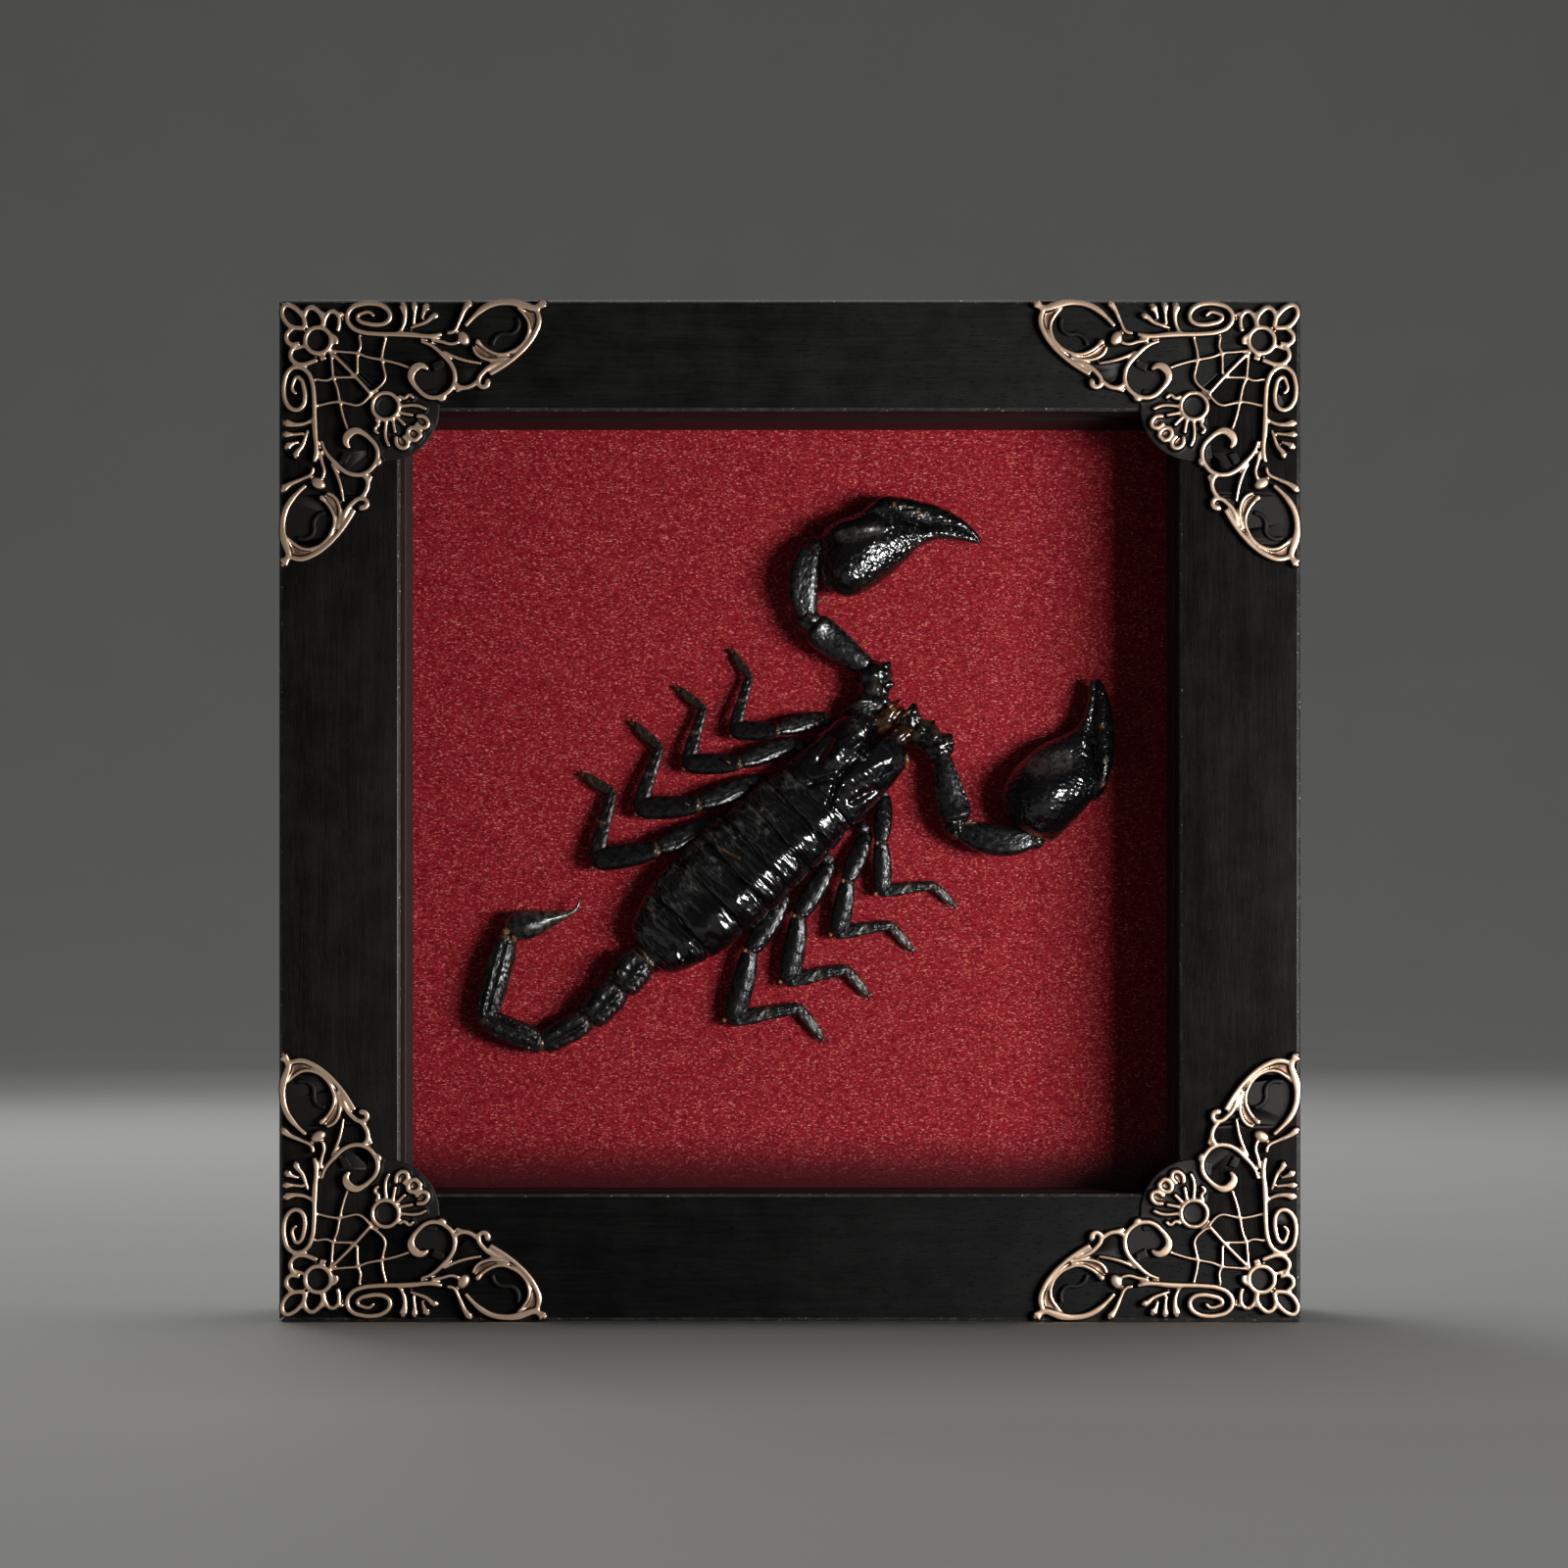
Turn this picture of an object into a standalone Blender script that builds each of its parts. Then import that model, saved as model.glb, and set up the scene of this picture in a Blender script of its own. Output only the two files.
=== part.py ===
# Framed scorpion specimen: a black shadow box with pierced bronze corners,
# a red mount board and a black scorpion glued to it.
# Lengths below are millimetres, turned into metres when a mesh is made.
# Across is X to the right, up is Z, and the front of the box faces -Y.
# The origin is the middle of the floor the box stands on.
import math

import bmesh
import bpy
from mathutils import Vector
from mathutils.geometry import delaunay_2d_cdt

MM = 0.001
GAP = 0.3

# Driving sizes of the box
FRAME_SIDE = 170.0
RAIL_DEPTH = 28.0
SIDE_RAIL = 20.2
TOP_RAIL = 18.6
BOTTOM_RAIL = 21.2
OUTER_CHAMFER = 0.6
INNER_CHAMFER = 0.5
LIP_DEPTH = 7.0
RABBET_SHARE = 0.68
MITRE_END = 0.22
HALF = FRAME_SIDE / 2

# What lies behind the lip, as depths from the front face of the rails
GLASS_THICK = 1.6
GLASS_FRONT = LIP_DEPTH + GAP
GLASS_BACK = GLASS_FRONT + GLASS_THICK
BOARD_FRONT = 20.5
BOARD_THICK = 1.5
BACK_FRONT = BOARD_FRONT + BOARD_THICK + GAP
BACK_THICK = 3.0
BACK_REAR = BACK_FRONT + BACK_THICK
PANE_LAP = 4.8
LINER_WIDTH = 4.4
LINER_CHAMFER = 0.4

# Retaining tabs and the hanger on the back
TAB_LENGTH = 9.0
TAB_WIDTH = 8.0
TAB_THICK = 0.6
TAB_OFFSET = 38.0
HANGER_LENGTH = 45.0
HANGER_HEIGHT = 8.0
HANGER_THICK = 1.0
HANGER_TEETH = 9
HANGER_TOOTH = 1.6
NAIL_RADIUS = 2.0
NAIL_HEAD = 0.8
NAIL_SIDES = 8
NAIL_OFFSET = 19.5
HANGER_TOP = FRAME_SIDE - 4.6

# The pierced corners stand a little off the face
ORNAMENT_THICK = 1.4
STROKE = 0.85
WEB_STROKE = 0.6
MERGE_STEP = 0.4
STRAIGHT_STEP = 0.17

# Depth of the whole, so that the origin is its middle
FRONT_PROUD = GAP + ORNAMENT_THICK
BACK_PROUD = GAP + HANGER_THICK + GAP + NAIL_HEAD
WHOLE_DEPTH = FRONT_PROUD + RAIL_DEPTH + BACK_PROUD
FACE_Y = FRONT_PROUD - WHOLE_DEPTH / 2
BOARD_Y = FACE_Y + BOARD_FRONT

# The specimen: the trunk lies at this heading, from the back edge of the carapace
TRUNK_START = (5.4, 88.3)
TRUNK_HEADING = 42.7
CLAW_LEFT_START = (5.6, 126.2)
CLAW_LEFT_HEADING = 11.7
CLAW_RIGHT_START = (40.2, 82.4)
CLAW_RIGHT_HEADING = 65.1

COLOURS = {
    "black_wood": ((0.012, 0.011, 0.010), 0.45, 0.0),
    "black_liner": ((0.050, 0.049, 0.047), 0.5, 0.0),
    "glass": ((0.85, 0.87, 0.87), 0.05, 0.0),
    "red_paper": ((0.19, 0.012, 0.018), 0.55, 0.0),
    "fibre_board": ((0.16, 0.10, 0.055), 0.85, 0.0),
    "steel": ((0.45, 0.44, 0.42), 0.4, 1.0),
    "antique_bronze": ((0.42, 0.27, 0.19), 0.38, 1.0),
    "black_shell": ((0.007, 0.007, 0.008), 0.28, 0.0),
    "amber_shell": ((0.09, 0.025, 0.008), 0.25, 0.0),
}


def clear_scene():
    for old in list(bpy.data.objects):
        bpy.data.objects.remove(old, do_unlink=True)


def material(name):
    found = bpy.data.materials.get(name)
    if found:
        return found
    colour, roughness, metallic = COLOURS[name]
    made = bpy.data.materials.new(name)
    made.use_nodes = True
    shader = made.node_tree.nodes["Principled BSDF"]
    shader.inputs["Base Color"].default_value = (*colour, 1.0)
    shader.inputs["Roughness"].default_value = roughness
    shader.inputs["Metallic"].default_value = metallic
    made.diffuse_color = (*colour, 1.0)
    return made


def add_object(name, points, faces, finish, smooth=False):
    """Make one closed solid from points in millimetres."""
    mesh = bpy.data.meshes.new(name)
    mesh.from_pydata([tuple(c * MM for c in p) for p in points], [], faces)
    work = bmesh.new()
    work.from_mesh(mesh)
    bmesh.ops.recalc_face_normals(work, faces=work.faces)
    work.to_mesh(mesh)
    work.free()
    mesh.validate()
    if smooth:
        mesh.shade_smooth()
        mesh.set_sharp_from_angle(angle=math.radians(50))
    mesh.materials.append(material(finish))
    made = bpy.data.objects.new(name, mesh)
    bpy.context.scene.collection.objects.link(made)
    return made


def bridged(rings):
    """Faces that join rings of equal length, closed by a cap at each end."""
    size = len(rings[0])
    points = [point for ring in rings for point in ring]
    faces = []
    for row in range(len(rings) - 1):
        first = row * size
        second = first + size
        for k in range(size):
            after = (k + 1) % size
            faces.append((first + k, first + after, second + after, second + k))
    faces.append(tuple(range(size)))
    last = (len(rings) - 1) * size
    faces.append(tuple(range(last, last + size)))
    return points, faces


def box(name, low, high, finish):
    x0, y0, z0 = low
    x1, y1, z1 = high
    rings = [[(x0, y, z0), (x1, y, z0), (x1, y, z1), (x0, y, z1)] for y in (y0, y1)]
    return add_object(name, *bridged(rings), finish)


# The four mitred rails. A section point is a share of the rail's width and a depth.

def rail_section(width):
    outer = OUTER_CHAMFER / width
    inner = INNER_CHAMFER / width
    return [
        (outer, 0.0),
        (1.0 - inner, 0.0),
        (1.0, INNER_CHAMFER),
        (1.0, LIP_DEPTH),
        (RABBET_SHARE, LIP_DEPTH),
        (RABBET_SHARE, RAIL_DEPTH),
        (0.0, RAIL_DEPTH),
        (0.0, OUTER_CHAMFER),
    ]


def rail(name, outer_ends, inner_ends, width):
    """A rail between two mitres. Each end runs from an outer to an inner corner."""
    along = (Vector(outer_ends[1]) - Vector(outer_ends[0])).normalized()
    rings = []
    for end, inward in ((0, 1.0), (1, -1.0)):
        outer = Vector(outer_ends[end]) + along * MITRE_END * inward
        inner = Vector(inner_ends[end]) + along * MITRE_END * inward
        ring = []
        for share, depth in rail_section(width):
            place = outer.lerp(inner, share)
            ring.append((place.x, FACE_Y + depth, place.y))
        rings.append(ring)
    return add_object(name, *bridged(rings), "black_wood")


def make_rails():
    left, right = -HALF, HALF
    low, high = 0.0, FRAME_SIDE
    in_left, in_right = left + SIDE_RAIL, right - SIDE_RAIL
    in_low, in_high = low + BOTTOM_RAIL, high - TOP_RAIL
    outer = {"bl": (left, low), "br": (right, low), "tr": (right, high), "tl": (left, high)}
    inner = {"bl": (in_left, in_low), "br": (in_right, in_low),
             "tr": (in_right, in_high), "tl": (in_left, in_high)}
    plan = [
        ("rail_bottom", "bl", "br", BOTTOM_RAIL),
        ("rail_right", "br", "tr", SIDE_RAIL),
        ("rail_top", "tr", "tl", TOP_RAIL),
        ("rail_left", "tl", "bl", SIDE_RAIL),
    ]
    for name, start, end, width in plan:
        rail(name, (outer[start], outer[end]), (inner[start], inner[end]), width)


# Everything that sits in the rabbet behind the lip

def window():
    return (-HALF + SIDE_RAIL, HALF - SIDE_RAIL, BOTTOM_RAIL, FRAME_SIDE - TOP_RAIL)


def pane(name, front, back, lap, finish):
    left, right, low, high = window()
    return box(name, (left - lap, FACE_Y + front, low - lap),
               (right + lap, FACE_Y + back, high + lap), finish)


def liner_strip(name, corner, along, inward, length):
    """A spacer bar with a small bevel on its front inner edge."""
    section = [
        (0.0, GLASS_BACK + GAP),
        (LINER_WIDTH - LINER_CHAMFER, GLASS_BACK + GAP),
        (LINER_WIDTH, GLASS_BACK + GAP + LINER_CHAMFER),
        (LINER_WIDTH, BOARD_FRONT - GAP),
        (0.0, BOARD_FRONT - GAP),
    ]
    rings = []
    for run in (0.0, length):
        ring = []
        for step, depth in section:
            place = Vector(corner) + Vector(along) * run + Vector(inward) * step
            ring.append((place.x, FACE_Y + depth, place.y))
        rings.append(ring)
    return add_object(name, *bridged(rings), "black_liner")


def make_liners():
    left, right, low, high = window()
    reach = LINER_WIDTH
    tall = high - low + 2 * reach
    wide = right - left - 2 * GAP
    liner_strip("liner_left", (left - reach, low - reach), (0, 1), (1, 0), tall)
    liner_strip("liner_right", (right + reach, low - reach), (0, 1), (-1, 0), tall)
    liner_strip("liner_bottom", (left + GAP, low - reach), (1, 0), (0, 1), wide)
    liner_strip("liner_top", (left + GAP, high + reach), (1, 0), (0, -1), wide)


def make_tabs():
    """Thin metal tabs that lie on the back board, two on each side."""
    left, right, low, high = window()
    rear = FACE_Y + BACK_REAR + GAP
    middle = (low + high) / 2
    edge = PANE_LAP - GAP
    half = TAB_WIDTH / 2
    for place, label in ((-TAB_OFFSET, "a"), (TAB_OFFSET, "b")):
        spots = {
            "tab_left_" + label: (left - edge, middle + place - half, 1, 0),
            "tab_right_" + label: (right + edge, middle + place - half, -1, 0),
            "tab_bottom_" + label: (place - half, low - edge, 0, 1),
            "tab_top_" + label: (place - half, high + edge, 0, -1),
        }
        for name, (x, z, across, up) in spots.items():
            wide = TAB_LENGTH * across if across else TAB_WIDTH
            tall = TAB_LENGTH * up if up else TAB_WIDTH
            low_x, high_x = sorted((x, x + wide))
            low_z, high_z = sorted((z, z + tall))
            box(name, (low_x, rear, low_z), (high_x, rear + TAB_THICK, high_z), "steel")


def disc(name, x, z, y0, y1, radius, sides, finish):
    rings = []
    for y in (y0, y1):
        ring = []
        for k in range(sides):
            turn = math.tau * k / sides
            ring.append((x + radius * math.cos(turn), y, z + radius * math.sin(turn)))
        rings.append(ring)
    return add_object(name, *bridged(rings), finish)


def make_hanger():
    """A strip with a toothed lower edge, held by two nails."""
    front = FACE_Y + RAIL_DEPTH + GAP
    low = HANGER_TOP - HANGER_HEIGHT
    pitch = (HANGER_LENGTH - HANGER_HEIGHT) / HANGER_TEETH
    start = -pitch * HANGER_TEETH / 2
    outline = [(-HANGER_LENGTH / 2, HANGER_TOP), (-HANGER_LENGTH / 2, low)]
    for k in range(HANGER_TEETH):
        outline.append((start + pitch * k, low))
        outline.append((start + pitch * (k + 0.5), low + HANGER_TOOTH))
    outline.append((start + pitch * HANGER_TEETH, low))
    outline.append((HANGER_LENGTH / 2, low))
    outline.append((HANGER_LENGTH / 2, HANGER_TOP))
    rings = [[(x, y, z) for x, z in outline] for y in (front, front + HANGER_THICK)]
    add_object("hanger", *bridged(rings), "steel")
    nail = front + HANGER_THICK + GAP
    height = HANGER_TOP - HANGER_HEIGHT * 0.36
    for name, x in (("hanger_nail_left", -NAIL_OFFSET), ("hanger_nail_right", NAIL_OFFSET)):
        disc(name, x, height, nail, nail + NAIL_HEAD, NAIL_RADIUS, NAIL_SIDES, "steel")


# The pierced corners. Points are millimetres in from the box's outer corner:
# first along one rail, then along the other. Half of the pattern is drawn,
# and the other half is its image in the corner's diagonal.

HALF_PATTERN = [
    (STROKE, [(12.2, 5.0), (16.5, 6.0), (24.4, 6.4), (28.0, 5.9), (29.6, 4.6), (31.8, 0.8)]),
    (STROKE, [(20.2, 5.7), (21.0, 2.9), (20.7, 1.2)]),
    (STROKE, [(21.8, 4.9), (22.7, 1.2)]),
    (STROKE, [(20.2, 5.7), (24.5, 4.0), (26.1, 3.0)]),
    (STROKE, [(24.0, 6.6), (27.4, 9.4), (29.4, 12.9), (28.0, 15.8), (24.6, 16.3), (22.4, 14.2),
              (22.5, 11.9), (24.9, 12.0)]),
    (WEB_STROKE, [(25.4, 7.2), (30.5, 7.6)]),
    (WEB_STROKE, [(27.4, 9.4), (34.7, 10.9)]),
    (STROKE, [(30.4, 5.9), (33.8, 1.9), (37.8, 0.7), (42.7, 1.6), (44.2, 0.7)]),
    (STROKE, [(42.7, 1.6), (43.2, 4.1), (40.8, 8.5), (36.4, 12.0), (33.7, 14.0), (31.4, 14.8),
              (28.7, 14.4)]),
    (STROKE, [(40.1, 2.3), (41.7, 4.9), (39.1, 9.1), (35.5, 9.1), (33.1, 7.2)]),
    (WEB_STROKE, [(8.0, 8.2), (13.2, 9.1), (17.3, 10.4), (22.3, 12.0)]),
    (WEB_STROKE, [(13.5, 5.4), (13.2, 12.7), (17.6, 12.9)]),
    (WEB_STROKE, [(17.8, 6.1), (17.3, 10.4), (17.8, 13.4), (15.9, 16.0)]),
    (WEB_STROKE, [(19.0, 17.9), (24.6, 18.3)]),
    (STROKE, [(19.6, 18.9), (24.6, 20.9)]),
    (WEB_STROKE, [(20.0, 16.6), (23.3, 15.0)]),
]
DIAGONAL_PATTERN = [
    (WEB_STROKE, [(8.4, 8.4), (17.0, 17.0)]),
    (STROKE, [(19.0, 19.0), (22.8, 22.8)]),
    (STROKE, [(5.4, 5.4), (1.6, 1.6)]),
]
# Filled shapes: centre, half sizes along and across, number of sides
HALF_SPOTS = [
    ((6.1, 3.3), (1.1, 1.8), 5),
    ((9.2, 4.2), (1.2, 1.7), 5),
    ((31.9, 0.9), (0.9, 0.9), 5),
    ((30.8, 6.8), (1.2, 1.6), 6),
    ((44.1, 0.9), (0.9, 0.9), 5),
    ((24.0, 20.6), (1.3, 1.0), 5),
]
DIAGONAL_SPOTS = [
    ((22.6, 22.6), (1.2, 1.2), 5),
    ((2.2, 2.2), (1.4, 1.4), 5),
]
# Rings: centre, half sizes of the middle of the line, number of sides
HALF_RINGS = [((15.0, 3.1), (3.1, 2.1), 8)]
DIAGONAL_RINGS = [((6.8, 6.9), (2.1, 2.1), 8), ((17.9, 17.9), (2.2, 2.2), 8)]


def mirrored(point):
    return (point[1], point[0])


def stroke_quads(points, width):
    """Quads along a line, with mitred bends and square ends."""
    path = [Vector(p) for p in points]
    sides = []
    for k, here in enumerate(path):
        before = (here - path[k - 1]).normalized() if k else None
        after = (path[k + 1] - here).normalized() if k + 1 < len(path) else None
        if before is None:
            before = after
        if after is None:
            after = before
        lean = (before + after).normalized()
        across = Vector((-lean.y, lean.x))
        reach = width / 2 / max(0.6, lean.dot(after))
        sides.append((here + across * reach, here - across * reach))
    return [[a[0], a[1], b[1], b[0]] for a, b in zip(sides, sides[1:])]


def ellipse(centre, radii, sides, grow=0.0):
    ring = []
    for k in range(sides):
        turn = math.tau * (k + 0.5) / sides
        ring.append(Vector((centre[0] + (radii[0] + grow) * math.cos(turn),
                            centre[1] + (radii[1] + grow) * math.sin(turn))))
    return ring


def ring_quads(centre, radii, sides, width):
    outer = ellipse(centre, radii, sides, width / 2)
    inner = ellipse(centre, radii, sides, -width / 2)
    quads = []
    for k in range(sides):
        after = (k + 1) % sides
        quads.append([outer[k], outer[after], inner[after], inner[k]])
    return quads


def pattern_polygons():
    polygons = []
    for width, points in HALF_PATTERN:
        polygons += stroke_quads(points, width)
        polygons += stroke_quads([mirrored(p) for p in points], width)
    for width, points in DIAGONAL_PATTERN:
        polygons += stroke_quads(points, width)
    for centre, radii, sides in HALF_SPOTS:
        polygons.append(ellipse(centre, radii, sides))
        polygons.append(ellipse(mirrored(centre), mirrored(radii), sides))
    for centre, radii, sides in DIAGONAL_SPOTS:
        polygons.append(ellipse(centre, radii, sides))
    for centre, radii, sides in HALF_RINGS:
        polygons += ring_quads(centre, radii, sides, STROKE)
        polygons += ring_quads(mirrored(centre), mirrored(radii), sides, STROKE)
    for centre, radii, sides in DIAGONAL_RINGS:
        polygons += ring_quads(centre, radii, sides, STROKE)
    return polygons


def joined_triangles(polygons):
    """Triangles that cover the polygons together, each place once."""
    points = []
    faces = []
    for polygon in polygons:
        first = len(points)
        points += polygon
        faces.append(list(range(first, first + len(polygon))))
    out = delaunay_2d_cdt(points, [], faces, 1, 1e-4)
    covered = [face for face, sources in zip(out[2], out[5]) if sources]
    return out[0], covered


def boundary_loops(points, triangles):
    """Closed loops of points round the covered area and round its openings."""
    edges = {}
    for face in triangles:
        for k in range(len(face)):
            edges[(face[k], face[(k + 1) % len(face)])] = True
    follow = {}
    for a, b in edges:
        if (b, a) not in edges:
            follow.setdefault(a, []).append(b)
    loops = []
    while follow:
        start = next(iter(follow))
        loop = [start]
        here = start
        while True:
            options = follow[here]
            ahead = options.pop()
            if not options:
                del follow[here]
            if ahead == start:
                break
            loop.append(ahead)
            here = ahead
        loops.append([Vector(points[k]) for k in loop])
    return loops


def simplified(loop):
    """Drop points that are nearly in line with, or very near, their neighbours."""
    kept = list(loop)
    changed = True
    while changed and len(kept) > 3:
        changed = False
        for k in range(len(kept)):
            before = kept[k - 1]
            here = kept[k]
            after = kept[(k + 1) % len(kept)]
            chord = after - before
            if chord.length < 1e-6:
                continue
            offset = abs(chord.x * (here - before).y - chord.y * (here - before).x)
            near = (here - before).length < MERGE_STEP and offset / chord.length < MERGE_STEP / 2
            if near or offset / chord.length < STRAIGHT_STEP:
                del kept[k]
                changed = True
                break
    return kept


def area(loop):
    return sum(a.x * b.y - a.y * b.x for a, b in zip(loop, loop[1:] + loop[:1])) / 2


def inside(place, loops):
    """Even and odd count of the edges to the right of a place."""
    odd = False
    for loop in loops:
        for a, b in zip(loop, loop[1:] + loop[:1]):
            if (a.y > place.y) != (b.y > place.y):
                cross = a.x + (place.y - a.y) / (b.y - a.y) * (b.x - a.x)
                if cross > place.x:
                    odd = not odd
    return odd


def pierced_plate():
    """Points and triangles of the flat pattern, with few points."""
    points, triangles = joined_triangles(pattern_polygons())
    loops = [simplified(loop) for loop in boundary_loops(points, triangles)]
    loops = [loop for loop in loops if abs(area(loop)) > MERGE_STEP]
    corners = []
    edges = []
    for loop in loops:
        first = len(corners)
        corners += loop
        edges += [(first + k, first + (k + 1) % len(loop)) for k in range(len(loop))]
    out = delaunay_2d_cdt(corners, edges, [], 0, 1e-5)
    kept = []
    for face in out[2]:
        middle = sum((out[0][k] for k in face), Vector((0.0, 0.0))) / len(face)
        if inside(middle, loops):
            kept.append(face)
    return out[0], kept


def make_corner(name, plate, flip_x, flip_z):
    points, triangles = plate
    back = FACE_Y - GAP
    front = back - ORNAMENT_THICK
    count = len(points)
    places = []
    for y in (front, back):
        for p in points:
            x = flip_x * (HALF - p[0])
            z = FRAME_SIDE - p[1] if flip_z > 0 else p[1]
            places.append((x, y, z))
    faces = [tuple(face) for face in triangles]
    faces += [tuple(k + count for k in reversed(face)) for face in triangles]
    edges = set()
    for face in triangles:
        for k in range(3):
            edges.add((face[k], face[(k + 1) % 3]))
    for a, b in edges:
        if (b, a) not in edges:
            faces.append((b, a, a + count, b + count))
    return add_object(name, places, faces, "antique_bronze")


def make_corners():
    plate = pierced_plate()
    make_corner("corner_top_left", plate, -1, 1)
    make_corner("corner_top_right", plate, 1, 1)
    make_corner("corner_bottom_left", plate, -1, -1)
    make_corner("corner_bottom_right", plate, 1, -1)


# The specimen. Each part is a skin over sections across its own axis, and
# heights are measured from the mount board towards the viewer.

def specimen_point(x, z, height):
    return (x, BOARD_Y - height, z)


def axis_point(start, heading, along, left):
    turn = math.radians(heading)
    x = start[0] + along * math.cos(turn) - left * math.sin(turn)
    z = start[1] + along * math.sin(turn) + left * math.cos(turn)
    return x, z


def round_section(sides):
    """Unit ring: share across from right to left, share up from low to high."""
    ring = []
    for k in range(sides):
        turn = math.tau * (k + 0.5) / sides
        ring.append((math.cos(turn), 0.5 + 0.5 * math.sin(turn)))
    return ring


TRUNK_SECTION = [
    (-0.40, 0.0), (0.40, 0.0), (0.78, 0.26), (1.0, 0.48), (0.93, 0.72), (0.62, 0.93),
    (0.22, 1.0), (0.0, 0.96), (-0.22, 1.0), (-0.62, 0.93), (-0.93, 0.72), (-1.0, 0.48),
    (-0.78, 0.26),
]


def axis_part(name, start, heading, stations, section, finish="black_shell"):
    """Skin over stations of (along, left, right, low, high)."""
    rings = []
    for along, left, right, low, high in stations:
        ring = []
        for share, rise in section:
            offset = (left + right) / 2 + share * (left - right) / 2
            x, z = axis_point(start, heading, along, offset)
            ring.append(specimen_point(x, z, low + rise * (high - low)))
        rings.append(ring)
    return add_object(name, *bridged(rings), finish, smooth=True)


def chain_part(name, stations, sides, finish="black_shell"):
    """Skin along a bent line of (x, z, height, half width, half thickness)."""
    rings = []
    for k, (x, z, height, wide, thick) in enumerate(stations):
        before = Vector(stations[max(k - 1, 0)][:2])
        after = Vector(stations[min(k + 1, len(stations) - 1)][:2])
        ahead = (after - before).normalized()
        ring = []
        for share, rise in round_section(sides):
            px = x - ahead.y * share * wide
            pz = z + ahead.x * share * wide
            ring.append(specimen_point(px, pz, height + (2 * rise - 1) * thick))
        rings.append(ring)
    return add_object(name, *bridged(rings), finish, smooth=True)


def make_trunk():
    carapace = [
        (-1.0, 7.3, -7.3, 0.7, 7.4),
        (-0.2, 7.8, -7.8, 0.5, 8.0),
        (4.0, 7.9, -7.8, 0.5, 8.5),
        (8.0, 7.6, -7.2, 0.5, 8.6),
        (11.6, 7.1, -6.3, 0.6, 8.2),
        (14.4, 6.0, -5.0, 0.8, 7.4),
        (16.0, 4.4, -3.0, 1.4, 6.2),
    ]
    axis_part("carapace", TRUNK_START, TRUNK_HEADING, carapace, TRUNK_SECTION)
    # Each back plate: where it starts, its half widths and its height
    plates = [
        (-1.4, 7.9, -7.8, 7.9),
        (-5.2, 8.3, -8.0, 8.3),
        (-10.1, 8.9, -8.3, 8.7),
        (-14.9, 9.3, -8.5, 8.9),
        (-19.9, 9.4, -8.6, 8.9),
        (-25.4, 9.1, -8.4, 8.6),
        (-32.8, 8.3, -7.4, 7.8),
    ]
    rear = (-38.6, 5.9, -5.2, 6.6)
    tip = (-40.4, 3.3, -3.1, 5.6)
    stations = []
    step = 0.95
    for plate, following in zip(plates, plates[1:] + [rear]):
        along, left, right, high = plate
        length = following[0] - along
        wide_left = (left + following[1]) / 2
        wide_right = (right + following[2]) / 2
        tall = (high + following[3]) / 2
        stations.append((along, left * step, right * step, 0.6, high * step))
        stations.append((along + length * 0.22, left, right, 0.5, high))
        stations.append((along + length * 0.9, wide_left, wide_right, 0.5, tall))
    for along, left, right, high in (rear, tip):
        stations.append((along, left, right, 0.9, high))
    axis_part("abdomen", TRUNK_START, TRUNK_HEADING, stations, TRUNK_SECTION)
    for name, middle in (("chelicera_left", 2.0), ("chelicera_right", -1.9)):
        stations = [
            (16.4, middle + 1.3, middle - 1.3, 2.2, 5.6),
            (17.6, middle + 1.7, middle - 1.6, 2.0, 5.8),
            (18.8, middle + 1.3, middle - 1.3, 2.1, 5.0),
            (19.8, middle + 0.6, middle - 0.6, 2.4, 3.8),
        ]
        axis_part(name, TRUNK_START, TRUNK_HEADING, stations, round_section(8), "amber_shell")


def make_tail():
    # Joints of the five tail rings: place, height, half width
    joints = [
        (-25.0, 60.2, 4.0, 2.9),
        (-29.0, 55.5, 3.7, 2.6),
        (-34.1, 50.2, 3.5, 2.4),
        (-42.3, 46.1, 3.3, 2.2),
        (-51.9, 49.6, 3.2, 2.2),
        (-48.7, 64.0, 3.2, 2.0),
    ]
    stations = []
    for here, after in zip(joints, joints[1:]):
        for share, swell in ((0.04, 0.74), (0.2, 1.0), (0.8, 1.06), (0.96, 0.82)):
            x, z, height, wide = (a + share * (b - a) for a, b in zip(here, after))
            stations.append((x, z, height, wide * swell, wide * swell * 0.92))
    chain_part("tail", stations, 8)
    stinger = [
        (-48.2, 64.8, 3.2, 1.0, 1.0),
        (-47.3, 65.9, 3.3, 1.9, 1.9),
        (-45.4, 66.6, 3.4, 2.35, 2.3),
        (-42.4, 67.0, 3.3, 2.1, 2.0),
        (-39.5, 67.6, 3.1, 1.2, 1.2),
        (-37.6, 68.4, 3.0, 0.7, 0.7),
        (-36.4, 69.3, 2.9, 0.45, 0.45),
        (-36.1, 70.6, 2.8, 0.2, 0.2),
    ]
    chain_part("stinger", stinger, 8)


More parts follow.
